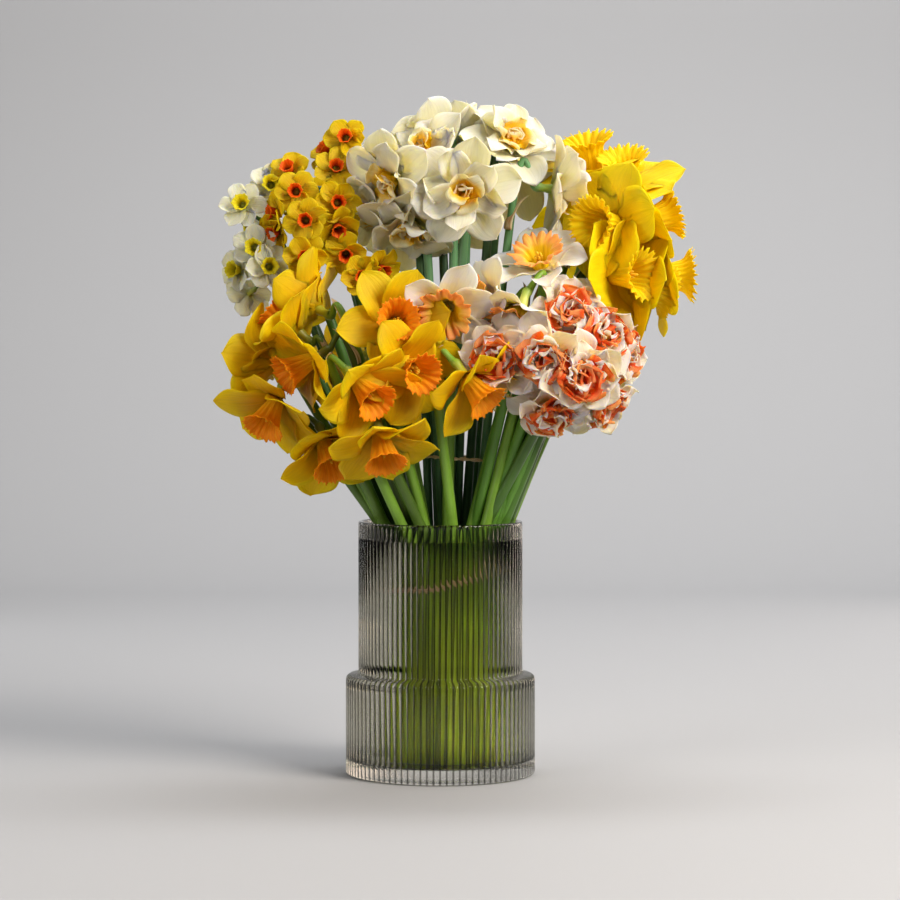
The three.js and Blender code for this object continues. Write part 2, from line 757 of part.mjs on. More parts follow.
// A band pulled round points, in a level ring of flat stretches.
const BAND_SIDES = 12;
function band(points, z, slack) {
  const x = points.reduce((sum, point) => sum + point.x, 0) / points.length;
  const y = points.reduce((sum, point) => sum + point.y, 0) / points.length;
  const shrink = Math.cos(Math.PI / BAND_SIDES);
  const inner = (reachOf(points, x, y) + slack) / shrink;
  const ringAt = (radius, height) => {
    const ring = roundRing(radius, height, BAND_SIDES, BAND_SIDES);
    return ring.map(({ turn, place }) => ({ turn, place: place.add(vec(x, y, 0)) }));
  };
  const [low, high] = [z - TIE_THICKNESS / 2, z + TIE_THICKNESS / 2];
  const disc = (radius, down, up) => solidOf(lofted([
    [{ turn: 0, place: vec(x, y, down) }],
    ringAt(radius, down),
    ringAt(radius, up),
    [{ turn: 0, place: vec(x, y, up) }],
  ]));
  return disc(inner + TIE_THICKNESS, low, high).subtract(disc(inner, low - 1, high + 1));
}

const lowerPoints = stemPaths.map((path) => pathAt(path, LOWER_TIE_LEVEL));
const upperPoints = tiedPaths.map((path) => pathAt(path, UPPER_TIE_LEVEL));
const ties = {
  tie_lower: band(lowerPoints, LOWER_TIE_LEVEL, TIE_SEAT),
  tie_upper: band(upperPoints, UPPER_TIE_LEVEL, TIE_SEAT),
};
for (const [name, ring] of Object.entries(ties)) {
  addNode(name, bodiesOf(ring.subtract(stemThing.room))[0], 0xc8a070, 0.8);
}

addNode('water', makeWater(), 0xbfd0c8, 0.02);
addNode('vase', makeVase(), 0x8f918c, 0.05);

export default bouquet;
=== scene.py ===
from functools import partial
import math

import bpy
import numpy as np
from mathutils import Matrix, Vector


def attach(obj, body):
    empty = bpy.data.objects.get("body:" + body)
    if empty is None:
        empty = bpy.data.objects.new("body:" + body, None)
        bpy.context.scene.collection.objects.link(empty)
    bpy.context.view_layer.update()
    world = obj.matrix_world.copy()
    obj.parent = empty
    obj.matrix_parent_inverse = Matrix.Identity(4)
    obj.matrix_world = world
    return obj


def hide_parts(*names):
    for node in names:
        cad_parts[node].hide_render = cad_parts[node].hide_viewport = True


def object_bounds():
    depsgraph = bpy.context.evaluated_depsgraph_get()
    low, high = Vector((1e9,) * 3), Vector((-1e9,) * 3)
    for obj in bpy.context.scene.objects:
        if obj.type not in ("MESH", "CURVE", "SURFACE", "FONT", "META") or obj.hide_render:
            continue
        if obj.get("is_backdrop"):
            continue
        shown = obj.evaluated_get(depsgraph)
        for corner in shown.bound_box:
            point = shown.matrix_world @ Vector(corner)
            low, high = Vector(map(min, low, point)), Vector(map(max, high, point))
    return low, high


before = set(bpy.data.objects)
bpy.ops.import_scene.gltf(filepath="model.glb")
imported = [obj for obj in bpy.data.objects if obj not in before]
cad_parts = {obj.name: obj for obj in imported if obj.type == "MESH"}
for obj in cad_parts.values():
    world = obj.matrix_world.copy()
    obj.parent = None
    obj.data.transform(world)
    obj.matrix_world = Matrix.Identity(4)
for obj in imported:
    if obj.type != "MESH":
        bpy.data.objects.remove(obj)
cad_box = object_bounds()

# ---- Studio ----------------------------------------------------------------------------------
# Matt seamless paper, laid as a pale floor that bends up into a wall behind the object, large
# soft lights on all sides, and a long lens in front.

MM = 0.001


def linear(colour):
    """An sRGB hex colour, such as 'F2C800', as linear red, green, blue and alpha."""
    srgb = np.array([int(colour[i:i + 2], 16) for i in (0, 2, 4)]) / 255
    mixed = np.where(srgb <= 0.04045, srgb / 12.92, ((srgb + 0.055) / 1.055) ** 2.4)
    return (*mixed.tolist(), 1.0)


def add_node(tree, kind, settings=None, inputs=None, stops=()):
    """Adds a shader node of a kind, with its settings, its inputs set to values or linked to
    sockets, and the stops of its colour ramp as (place, hex)."""
    node = tree.nodes.new("ShaderNode" + kind)
    for name, value in (settings or {}).items():
        setattr(node, name, value)
    for _ in stops[2:]:
        node.color_ramp.elements.new(0.5)
    for i, (place, colour) in enumerate(stops):
        node.color_ramp.elements[i].position = place
        node.color_ramp.elements[i].color = linear(colour)
    for name, value in (inputs or {}).items():
        if isinstance(value, bpy.types.NodeSocket):
            tree.links.new(value, node.inputs[name])
        else:
            node.inputs[name].default_value = value
    return node


def start_material(name):
    """A new material, its empty node tree, and a node that gives the places on a piece."""
    material = bpy.data.materials.new(name)
    material.use_nodes = True
    material.node_tree.nodes.clear()
    return material, material.node_tree, add_node(material.node_tree, "TexCoord")


def finish_material(tree, height, strength, depth, inputs):
    """Closes a material with one shader that has these inputs, and a relief depth mm high."""
    bump = add_node(tree, "Bump", inputs={
        "Height": height, "Strength": strength, "Distance": depth * MM})
    shader = add_node(tree, "BsdfPrincipled", inputs={
        "Normal": bump.outputs["Normal"], **inputs})
    add_node(tree, "OutputMaterial", inputs={"Surface": shader.outputs["BSDF"]})


def mesh_object(name, points, face_sets, material, uv=None):
    """An object at the origin from points (count x 3, mm) and arrays of faces, one array for each
    number of corners. uv gives each point its two pattern coordinates; where a face crosses the
    seam of a round piece, its low first coordinates are raised by one."""
    mesh = bpy.data.meshes.new(name)
    sizes = np.concatenate([np.full(len(faces), faces.shape[1]) for faces in face_sets])
    corners = np.concatenate([faces.ravel() for faces in face_sets]).astype(np.int32)
    mesh.vertices.add(len(points))
    mesh.vertices.foreach_set("co", (points * MM).ravel())
    mesh.loops.add(len(corners))
    mesh.loops.foreach_set("vertex_index", corners)
    mesh.polygons.add(len(sizes))
    mesh.polygons.foreach_set("loop_start", np.concatenate([[0], np.cumsum(sizes)[:-1]]))
    mesh.polygons.foreach_set("loop_total", sizes)
    mesh.update(calc_edges=True)
    mesh.polygons.foreach_set("use_smooth", np.ones(len(sizes), dtype=bool))
    if uv is not None:
        at_corners = uv[corners].astype(np.float64)
        for faces, start in zip(face_sets, np.cumsum([0] + [faces.size for faces in face_sets])):
            ours = at_corners[start:start + faces.size].reshape(*faces.shape, 2)
            low, high = ours[..., 0].min(axis=1)[:, None], ours[..., 0].max(axis=1)[:, None]
            ours[..., 0] += (high - low > 0.5) & (ours[..., 0] < (low + high) / 2)
        mesh.uv_layers.new(name="pattern").data.foreach_set("uv", at_corners.ravel())
    mesh.materials.append(material)
    piece = bpy.data.objects.new(name, mesh)
    bpy.context.collection.objects.link(piece)
    return piece


def together(*parts):
    """Coordinates, given one by one in arrays of matching shapes, as the last axis of one."""
    return np.stack(np.broadcast_arrays(*parts), axis=-1)


def grid_faces(rows, columns, wrap=False):
    """Quads over a grid of points, facing the way that a step to the next row turns to the next
    column. With wrap, the last column joins the first."""
    i = np.arange(rows - 1)[:, None]
    j = np.arange(columns if wrap else columns - 1)[None, :]
    ahead = (j + 1) % columns
    quads = [i * columns + j, (i + 1) * columns + j, (i + 1) * columns + ahead, i * columns + ahead]
    return np.stack(quads, axis=-1).reshape(-1, 4)


def spots(size):
    """The scale of a noise whose spots are size mm wide."""
    return 1 / (size * MM)


def studio_grey():
    """Matt seamless paper, pressed flat: an even pale grey. Its tooth of 0.1 mm is too fine to
    show, so it is drawn 1.1 mm wide, and barely seen."""
    material, tree, place = start_material("seamless_paper")
    tooth = add_node(tree, "TexNoise", inputs={
        "Vector": place.outputs["Object"], "Scale": spots(1.111)})
    finish_material(tree, tooth.outputs["Fac"], 0.05, 0.2, {
        "Base Color": linear("B3B4B7"), "Roughness": 0.75})
    return material


# The sweep: level floor, a quarter turn, and an upright wall, as one profile drawn out sideways,
# and narrower towards the front, so that the sides of the glass look out past it into the dark.
FLOOR_FRONT, WALL_BACK, WALL_TOP, BEND_RADIUS = -620, 2600, 4200, 900
HALF_FRONT, HALF_BACK = 420, 960
bend = np.linspace(0, math.pi / 2, 24)
profile = np.concatenate([
    [[FLOOR_FRONT, 0], [0, 0]],
    together(WALL_BACK - BEND_RADIUS * (1 - np.sin(bend)), BEND_RADIUS * (1 - np.cos(bend))),
    [[WALL_BACK, WALL_TOP]]])
half = np.interp(profile[:, 0], [0, WALL_BACK], [HALF_FRONT, HALF_BACK])
sweep_points = together(half[:, None] * [-1, 1], profile[:, :1], profile[:, 1:])
sweep = mesh_object("floor_sweep", sweep_points.reshape(-1, 3),
                    [grid_faces(len(profile), 2)[:, ::-1]], studio_grey())
sweep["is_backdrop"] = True


def soft_light(name, place, aim, size, watts, colour):
    """An oblong soft box at a place, aimed at a point, both in millimetres."""
    light = bpy.data.lights.new(name, "AREA")
    light.shape = "RECTANGLE"
    light.size, light.size_y = size[0] * MM, size[1] * MM
    light.energy = watts
    light.color = linear(colour)[:3]
    box = bpy.data.objects.new(name, light)
    way = np.array(aim, dtype=float) - place
    flat = math.hypot(way[0], way[1])
    box.location = np.array(place) * MM
    box.rotation_euler = (math.atan2(flat, -way[2]), 0, math.atan2(way[1], way[0]) - math.pi / 2)
    bpy.context.collection.objects.link(box)


MIDDLE = (0, 0, 300)
soft_light("key_light", (1500, -1300, 1500), MIDDLE, (1200, 1300), 76, "FFF6EA")
soft_light("fill_light", (-1900, -1500, 900), MIDDLE, (1400, 1600), 27, "FFFAF4")
soft_light("top_light", (500, 300, 2300), MIDDLE, (1500, 1200), 12, "FFFFFF")
soft_light("right_card", (1100, 1260, 0), (0, 0, 100), (560, 900), 4.4, "FFEEE2")
soft_light("left_card", (-900, 1200, 80), (0, 0, 100), (160, 900), 1.0, "FFFFFF")
soft_light("wall_light", (700, 900, 3000), (500, 2600, 900), (3000, 1500), 70, "FFFFFF")

world = bpy.data.worlds.new("dim_surround")
world.use_nodes = True
world.node_tree.nodes["Background"].inputs["Color"].default_value = linear("D8DADD")
world.node_tree.nodes["Background"].inputs["Strength"].default_value = 0.09
bpy.context.scene.world = world
bpy.context.scene.view_settings.view_transform = "Standard"

# The view: from 2.2 m in front, 331 mm up, tipped down by 1.92 degrees.
SENSOR, PHOTO_WIDTH, FOCAL_PIXELS = 36.0, 900, 2830
EYE, TIP = (7.6, -2236, 331), 1.92
lens = bpy.data.cameras.new("camera")
lens.sensor_width = SENSOR
lens.lens = SENSOR * FOCAL_PIXELS / PHOTO_WIDTH
lens.clip_end = 100
camera = bpy.data.objects.new("camera", lens)
camera.location = np.array(EYE) * MM
camera.rotation_euler = (math.radians(90 - TIP), 0, 0)
bpy.context.collection.objects.link(camera)
bpy.context.scene.camera = camera

# ---- Vase ------------------------------------------------------------------------------------
# One body of pressed smoke-grey glass: a wide tier, a rounded shoulder, a narrower neck, and
# upright ribs outside, which fade out under the plain rim and at the foot.

VASE_HEIGHT, TIER_RADIUS, NECK_RADIUS, WATER_LEVEL = 200, 75, 65, 185
SHOULDER_FOOT, SHOULDER_TOP = 76, 81
WALL, FLOOR_THICKNESS = 4, 11.5
RIB_COUNT, RIB_DEPTH, RIB_STEPS = 92, 1.3, 10


def arc(x, z, radius, start, end, steps=6):
    """Points round a centre in the profile's plane, from one angle in degrees to another."""
    turn = np.radians(np.linspace(start, end, steps))
    return together(x + radius * np.cos(turn), z + radius * np.sin(turn))


def turned(profile, columns, depth=None):
    """The points and faces of a profile of (radius, height) points turned about Z, with an end
    at each end of the profile. depth draws the surface in between the crests of round ribs: each
    rib's section is half an ellipse of that depth."""
    around = np.linspace(0, 2 * np.pi, columns, endpoint=False)
    radius = np.broadcast_to(profile[:, :1], (len(profile), columns)).copy()
    if depth is not None:
        across = (np.arange(columns) % RIB_STEPS) / RIB_STEPS * 2 - 1
        radius -= depth[:, None] * (1 - np.sqrt(1 - (0.98 * across[None, :]) ** 2))
    points = together(radius * np.cos(around), radius * np.sin(around), profile[:, 1:])
    first = np.arange(columns)
    sides = grid_faces(len(profile), columns, wrap=True)[:, ::-1]
    ends = np.stack([first[::-1], first + (len(profile) - 1) * columns])
    return points.reshape(-1, 3), [sides, ends]


def smoked_glass():
    """Pressed soda glass, smoke grey: a clear polished body, with a waver 17 mm wide from the
    mould, and painted shade, dark brown-grey, in the grooves between its ribs. Its first pattern
    coordinate runs once round, and its second is 1 where water wets it; there the glass has no
    painted shade and doesn't mirror."""
    material, tree, place = start_material("smoked_pressed_glass")
    wet = add_node(tree, "SeparateXYZ", inputs={0: place.outputs["UV"]})
    mirror = add_node(tree, "Mix", {"data_type": "RGBA"}, {
        0: wet.outputs["Y"], 6: linear("BBBBBB"), 7: linear("000000")})
    ribs = add_node(tree, "Math", {"operation": "MULTIPLY"}, {
        0: wet.outputs["X"], 1: float(RIB_COUNT)})
    groove = add_node(tree, "Math", {"operation": "PINGPONG"}, {
        0: ribs.outputs["Value"], 1: 0.5})
    # Painted shade: a mask that is 0 in the grooves between the ribs and 1 over the rest of each
    # rib.
    clear_of_groove_shade = add_node(tree, "MapRange", {"interpolation_type": "SMOOTHSTEP"}, {
        "Value": groove.outputs["Value"], "From Min": 0.04, "From Max": 0.24})
    clear_of_painted_shade = add_node(tree, "Math", {"operation": "MAXIMUM"}, {
        0: clear_of_groove_shade.outputs["Result"], 1: wet.outputs["Y"]})
    # Painted shade: dark brown-grey 4E4A42 in the grooves where the glass is dry, clear smoke grey
    # F2EFE6 elsewhere.
    smoke_and_groove_shade = add_node(tree, "Mix", {"data_type": "RGBA"}, {
        0: clear_of_painted_shade.outputs["Value"], 6: linear("4E4A42"), 7: linear("F2EFE6")})
    waver = add_node(tree, "TexNoise", inputs={
        "Vector": place.outputs["Object"], "Scale": spots(16.67)})
    finish_material(tree, waver.outputs["Fac"], 0.1, 0.15, {
        "Base Color": smoke_and_groove_shade.outputs[2], "Roughness": 0.0, "IOR": 1.5,
        "Specular Tint": mirror.outputs[2], "Transmission Weight": 1.0})
    return material


def add_piece(name, node, slot, points, face_sets, material, uv=None):
    """A piece that stands for a node of the solids, which it hides. slot is not used."""
    piece = mesh_object(name, points, face_sets, material, uv)
    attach(piece, "root")
    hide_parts(node)


TIER_INNER, NECK_INNER = TIER_RADIUS - WALL - 0.5, NECK_RADIUS - WALL
outer = np.concatenate([
    [[0.2, 0.6], [60, 0.6], [66, 0]],
    arc(TIER_RADIUS - 2.5, 2.5, 2.5, -90, 0),
    together(TIER_RADIUS, np.linspace(6, SHOULDER_FOOT - 6, 5)),
    arc(TIER_RADIUS - 4.5, SHOULDER_FOOT - 1.5, 4.5, 0, 68, 8),
    arc(NECK_RADIUS + 2.2, SHOULDER_TOP + 1.2, 2.2, 250, 180, 6),
    together(NECK_RADIUS, np.linspace(SHOULDER_TOP + 6, VASE_HEIGHT - 4, 7)),
    [[NECK_RADIUS - 0.1, VASE_HEIGHT - 2.2]],
    arc(NECK_RADIUS - 1.5, VASE_HEIGHT - 1.5, 1.5, 0, 90, 4)])
inner = np.concatenate([
    arc(NECK_INNER + 1.5, VASE_HEIGHT - 1.5, 1.5, 90, 180, 4),
    [[NECK_INNER, 190], [NECK_INNER, 120], [NECK_INNER, 86]],
    arc(NECK_INNER + 3, SHOULDER_TOP - 1.5, 3, 180, 250, 5),
    arc(TIER_INNER - 5, SHOULDER_FOOT - 8, 5, 65, 0, 6),
    [[TIER_INNER, 50], [TIER_INNER, 25]],
    arc(TIER_INNER - 6, FLOOR_THICKNESS + 6, 6, 0, -90, 7),
    [[40, FLOOR_THICKNESS], [0.2, FLOOR_THICKNESS]]])
rib_fade = np.interp(outer[:, 1], [0, 3, VASE_HEIGHT - 3.5, VASE_HEIGHT - 2], [0.2, 1, 1, 0])
rib_fade *= outer[:, 0] > NECK_RADIUS - 1
vase_profile = np.concatenate([outer, inner])
vase_depth = RIB_DEPTH * np.concatenate([rib_fade, np.zeros(len(inner))])
vase_columns = RIB_COUNT * RIB_STEPS
under_water = inner[:, 1] < WATER_LEVEL
vase_wet = np.concatenate([np.zeros(len(outer)), under_water])
vase_uv = together(np.arange(vase_columns) / vase_columns, vase_wet[:, None])
add_piece("ribbed_vase", "vase", "smoked_glass", *turned(vase_profile, vase_columns, vase_depth),
          smoked_glass(), vase_uv.reshape(-1, 2))

# ---- Water -----------------------------------------------------------------------------------
# Clear water to 15 mm under the rim. It wets the glass, so that it bends light with it as one
# body, and climbs a little where it meets the wall.

WETTING, CLIMB, WATER_COLUMNS = 0.12, 1.2, 128


def clear_water():
    """Still tap water: clear, with ripples 40 mm wide that barely move its surface."""
    material, tree, place = start_material("still_water")
    ripple = add_node(tree, "TexNoise", inputs={
        "Vector": place.outputs["Object"], "Scale": spots(40)})
    finish_material(tree, ripple.outputs["Fac"], 0.1, 0.5, {
        "Base Color": linear("F4F6F2"), "Roughness": 0.0, "IOR": 1.333,
        "Specular Tint": linear("000000"), "Transmission Weight": 1.0})
    return material


below = inner[under_water][::-1]
below[:, 0] += WETTING * (below[:, 0] > 1)
below[:, 1] -= WETTING * (below[:, 1] < FLOOR_THICKNESS + 1)
climb = NECK_INNER - np.array([-WETTING, 0.4, 1.2, 3, 6])
water_profile = np.concatenate([
    below,
    together(climb, WATER_LEVEL + CLIMB * np.exp((climb - NECK_INNER) / 1.5)),
    [[30, WATER_LEVEL], [0.2, WATER_LEVEL]]])
add_piece("water_body", "water", "water", *turned(water_profile, WATER_COLUMNS), clear_water())

# ---- Bunches ---------------------------------------------------------------------------------
# Where each bloom's heart is, the way it faces (degrees round from the front towards +X, and
# degrees up), and how far it is rolled about that way: x, y, z, azimuth, elevation, roll.

BUNCHES = {
    "golden_trumpets": [
        [-127, -62, 293, -35, -50, 20], [-60, -108, 308, 44, -34, 22],
        [-25, -92, 322, 34, -14, 12], [-34, -84, 355, 8, 8, 8], [-45, -96, 268, 20, -56, 0],
        [22, -98, 311, 58, -44, 18], [-100, -80, 326, -66, -26, 0], [-112, -58, 352, -96, 40, 30],
        [-132, -50, 328, -122, 8, 10], [-88, -64, 261, 28, -48, 30], [-98, -46, 368, -124, 22, 20],
        [-64, 74, 330, -150, -8, 15], [-8, 90, 300, 176, -24, 0],
    ],
    "split_cups": [
        [5, -86, 367, -8, -24, 10], [37, -62, 370, -62, 4, 0], [60, -82, 364, -40, -50, 20],
        [77, -54, 402, -22, 48, 0],
    ],
    "coral_doubles": [
        [97, -78, 361, 8, 12, 0], [45, -92, 329, -20, 2, 20], [78, -102, 330, -8, -20, 40],
        [122, -80, 344, 30, 14, 10], [135, -52, 332, 62, 2, 30], [84, -84, 292, -6, -52, 0],
        [122, -70, 298, 44, -42, 20], [106, -103, 315, 14, -6, 26], [88, 72, 330, 148, 0, 0],
        [50, 92, 316, 168, -14, 30],
    ],
    "white_doubles": [
        [18, -64, 457, -5, -10, 10], [-37, -46, 466, -42, -24, 30], [0, 10, 503, -150, 50, 0],
        [27, 14, 499, 168, 46, 20], [55, -16, 497, 32, 42, 40], [92, -20, 460, 100, -6, 15],
        [-14, -30, 487, -30, 34, 0], [-24, -30, 433, -26, -60, 10], [-50, -14, 448, -72, -36, 40],
        [20, 62, 455, 176, 2, 0], [62, 54, 482, 150, 28, 20], [-28, 58, 442, -160, -4, 30],
    ],
    "yellow_trumpets": [
        [133, -38, 433, -40, 0, 10], [147, 2, 463, -18, 62, 30], [121, 22, 477, -30, 68, 0],
        [158, -14, 434, 100, 18, 20], [136, -42, 393, 50, 0, 10], [170, 0, 393, 96, 2, 30],
        [153, -24, 386, 108, -14, 0], [118, 64, 424, 150, 20, 10], [140, 52, 384, 128, -12, 40],
    ],
}

# Heads of several small florets: the place where their stalks meet, then the florets.
HEADS = {
    "orange_cup_head_top": ([-88, 12, 462], [
        [-74, -18, 501, -10, 16, 0], [-91, 2, 493, -60, 30, 10], [-81, -26, 477, 5, 24, 20],
        [-112, -36, 458, -5, 6, 0], [-119, -12, 477, -24, 34, 30],
    ]),
    "orange_cup_head_low": ([-108, -8, 414], [
        [-104, -46, 435, -4, -2, 15], [-104, -46, 407, 2, -8, 0], [-130, -26, 442, -66, 0, 20],
        [-129, -24, 427, -50, -24, 40],
    ]),
    "orange_cup_head_right": ([-62, -8, 408], [
        [-79, -42, 449, 8, 2, 0], [-79, -40, 429, 14, -38, 30], [-60, -44, 392, 4, -12, 10],
        [-45, -40, 397, 36, -28, 0], [-73, -36, 409, 0, -20, 20],
    ]),
    "orange_cup_head_back": ([-84, 48, 432], [
        [-98, 80, 462, -160, 22, 0], [-72, 86, 444, 175, 4, 20], [-100, 82, 424, -152, -12, 10],
    ]),
    "lime_cup_head_top": ([-138, 14, 436], [
        [-155, -18, 449, -12, 18, 0], [-133, -8, 465, 4, 14, 20], [-149, -6, 430, -80, -6, 40],
    ]),
    "lime_cup_head_low": ([-134, 6, 394], [
        [-145, -24, 415, -10, 4, 30], [-133, -30, 400, 10, 2, 0], [-161, -8, 398, -44, 4, 10],
        [-152, -6, 377, -150, -24, 0],
    ]),
    "lime_cup_head_back": ([-128, 46, 412], [
        [-146, 74, 438, -150, 20, 0], [-142, 78, 410, -156, -4, 30],
    ]),
}


def facing(rows):
    """The way that one bloom faces, or that each of several does, and the level way to its
    right."""
    azimuth, elevation = np.radians(np.array(rows, dtype=float)[..., 3:5]).T
    way = together(np.sin(azimuth) * np.cos(elevation), -np.cos(azimuth) * np.cos(elevation),
                   np.sin(elevation))
    return way, together(np.cos(azimuth), np.sin(azimuth), 0)


def placed(local, row):
    """Points of one bloom, drawn round Z with its heart at the origin, put where its row says."""
    way, right = facing(row)
    up = np.cross(way, right)
    roll = math.radians(row[5])
    first = right * math.cos(roll) + up * math.sin(roll)
    second = up * math.cos(roll) - right * math.sin(roll)
    return local @ np.stack([first, second, way]) + row[:3]


# ---- Stems -----------------------------------------------------------------------------------
# Each bloom's leafless stem stands on the vase's floor, is pressed into a round bundle at the
# lower tie, leans out over the rim, and bends over at a knee behind the bloom. There it thins to
# the bloom's own neck, swells at the ovary, and runs into the back of the petals.

BUNDLE_X, FOOT_SHIFT, FOOT_LEVEL = 8, 5, FLOOR_THICKNESS + 0.4
LOWER_TIE_LEVEL, RIM_LEVEL, RIM_REACH = 146, VASE_HEIGHT + 2, 56
SLOT_SPACING, SLOT_RINGS = 7.4, 4
# The feet stand wider apart than the stems in the tie, and turned round against them.
FOOT_SPLAY, FOOT_TWIST = 1.32, 35
BOUQUET_HALF_WIDTH, BOUQUET_HALF_DEPTH = 150, 95
KNEE_BACK, KNEE_LIFT, NECK_BACK, HUB_BACK = 33, 2, 18, 4.5
# How far the knee of a bloom that faces straight down moves in, back and down.
NOD_IN, NOD_BACK, NOD_DOWN = 6, 14, 9
KNOB_RADIUS, HEAD_KNEE_DROP, HEAD_KNEE_PULL = 4, 26, 0.12
# The places in the bundle where it is tied: rows of a honeycomb, round its middle.
free_slots = [
    np.array([(place - (2 * SLOT_RINGS - abs(line)) / 2) * SLOT_SPACING,
              line * SLOT_SPACING * math.sqrt(3) / 2])
    for line in range(-SLOT_RINGS, SLOT_RINGS + 1)
    for place in range(2 * SLOT_RINGS + 1 - abs(line))]


def take_slot(x, y):
    """The free place nearest to where a bloom's heart lies over the bundle."""
    reach = SLOT_RINGS * SLOT_SPACING
    wish = np.array([(x - BUNDLE_X) * reach / BOUQUET_HALF_WIDTH, y * reach / BOUQUET_HALF_DEPTH])
    return free_slots.pop(np.argmin(np.hypot(*(np.array(free_slots) - wish).T)))


def stem_points(x, y, knee, top):
    """A stem's foot, its place in the tie and over the rim, its knee, and what follows it."""
    slot = take_slot(x, y)
    twist = math.radians(FOOT_TWIST)
    turn = np.array([[math.cos(twist), -math.sin(twist)], [math.sin(twist), math.cos(twist)]])
    foot = [*(turn @ slot * FOOT_SPLAY + [BUNDLE_X - FOOT_SHIFT, 0]), FOOT_LEVEL]
    tie = np.array([BUNDLE_X + slot[0], slot[1], LOWER_TIE_LEVEL])
    rim = tie + (knee - tie) * (RIM_LEVEL - tie[2]) / (knee[2] - tie[2])
    rim[:2] *= min(1, RIM_REACH / math.hypot(*rim[:2]))
    return np.array([foot, tie, rim, knee, *top])


def bloom_stem(row):
    """The points of one bloom's stem, up to the back of its petals."""
    way = facing(row)[0]
    heart = np.array(row[:3], dtype=float)
    nod = max(0, -way[2])
    flat = unit(way * [1, 1, 0])
    knee = (heart - way * (KNEE_BACK - NOD_IN * nod) - flat * NOD_BACK * nod
            + [0, 0, KNEE_LIFT - NOD_DOWN * nod])
    neck = heart - way * NECK_BACK + [0, 0, 3 * nod]
    return stem_points(row[0], row[1], knee, [neck, heart - way * HUB_BACK])


def head_stem(knob):
    """The points of the stem of a head of florets, up to where their stalks meet."""
    top = np.array(knob, dtype=float)
    knee = top + [-HEAD_KNEE_PULL * knob[0], -HEAD_KNEE_PULL * knob[1],
                  -HEAD_KNEE_DROP - KNOB_RADIUS]
    return stem_points(knob[0], knob[1], knee, [(knee + top) / 2, top])


def smooth_path(points, steps):
    """A Catmull-Rom curve through each row of points (stem, point, xyz), steps to each span: the
    cubic whose slope at a point is half the way between its two neighbours."""
    before = 2 * points[:, :1] - points[:, 1:2]
    after = 2 * points[:, -1:] - points[:, -2:-1]
    p = np.concatenate([before, points, after], axis=1)
    t = np.linspace(0, 1, steps, endpoint=False)[None, None, :, None]
    p0, p1, p2, p3 = (p[:, i:p.shape[1] - 3 + i, None, :] for i in range(4))
    curve = 0.5 * (2 * p1 + (p2 - p0) * t + (2 * p0 - 5 * p1 + 4 * p2 - p3) * t ** 2
                   + (3 * p1 - p0 - 3 * p2 + p3) * t ** 3)
    return np.concatenate([curve.reshape(len(points), -1, 3), points[:, -1:]], axis=1)


def unit(vectors):
    """Vectors made one long."""
    return vectors / np.linalg.norm(vectors, axis=-1, keepdims=True)


def tubes(paths, radii, right, sides, ridge=0.0):
    """Closed tubes along paths (tube, step, xyz) with a radius at each step. right is a way that
    no path runs along, from which each section is set out. ridge presses the section into a
    slightly two-edged one. The ends are closed flat."""
    ahead = unit(np.gradient(paths, axis=1))
    right = right[:, None, :]
    side = unit(right - ahead * np.sum(ahead * right, axis=-1, keepdims=True))
    other = np.cross(ahead, side)
    turn = np.linspace(0, 2 * np.pi, sides, endpoint=False)
    wide = radii[..., None] * (1 + ridge * np.cos(2 * turn))
    points = (paths[:, :, None, :] + side[:, :, None, :] * (wide * np.cos(turn))[..., None]
              + other[:, :, None, :] * (wide * np.sin(turn))[..., None])
    count, steps = paths.shape[:2]
    starts = np.arange(count)[:, None, None] * steps * sides
    walls = (grid_faces(steps, sides, wrap=True)[None, :, ::-1] + starts).reshape(-1, 4)
    ends = np.stack([np.arange(sides)[::-1], (steps - 1) * sides + np.arange(sides)])
    caps = (ends[None] + starts).reshape(-1, sides)
    length = np.linalg.norm(np.diff(paths, axis=1), axis=-1)
    left = np.concatenate([np.cumsum(length[:, ::-1], axis=1)[:, ::-1], np.zeros((count, 1))], 1)
    uv = together(turn / (2 * np.pi) + 3 * np.arange(count)[:, None, None], left[..., None] / 100)
    return points.reshape(-1, 3), [walls, caps], uv.reshape(-1, 2)


def shaded(tree, pattern, split, colour, streaks, cloud, spread, shades, own_shades):
    """A colour in fine streaks and soft patches, with a shade of its own for each petal or stem:
    the shaded colour, and the height of the streaks. Where streaks and patches together run
    through spread, the shade runs through shades; own_shades holds each one's own."""
    lines = add_node(tree, "Mapping", inputs={
        "Vector": pattern.outputs["UV"], "Scale": streaks})
    streak = add_node(tree, "TexNoise", inputs={
        "Vector": lines.outputs["Vector"], "Scale": 1.0, "Detail": 3.0}).outputs["Fac"]
    both = add_node(tree, "Math", {"operation": "ADD"}, {0: streak, 1: cloud})
    shade = add_node(tree, "MapRange", inputs={
        "Value": both.outputs["Value"], "From Min": spread[0], "From Max": spread[1],
        "To Min": shades[0], "To Max": shades[1]})
    number = add_node(tree, "Math", {"operation": "SNAP"}, {
        0: split.outputs["X"], 1: 3.0})
    lot = add_node(tree, "TexWhiteNoise", {"noise_dimensions": "1D"}, {
        "W": number.outputs["Value"]})
    own = add_node(tree, "MapRange", inputs={
        "Value": lot.outputs["Value"], "To Min": own_shades[0], "To Max": own_shades[1]})
    amount = add_node(tree, "Math", {"operation": "MULTIPLY"}, {
        0: shade.outputs["Result"], 1: own.outputs["Result"]})
    result = add_node(tree, "VectorMath", {"operation": "SCALE"}, {
        0: colour, "Scale": amount.outputs["Value"]})
    return result.outputs["Vector"], streak


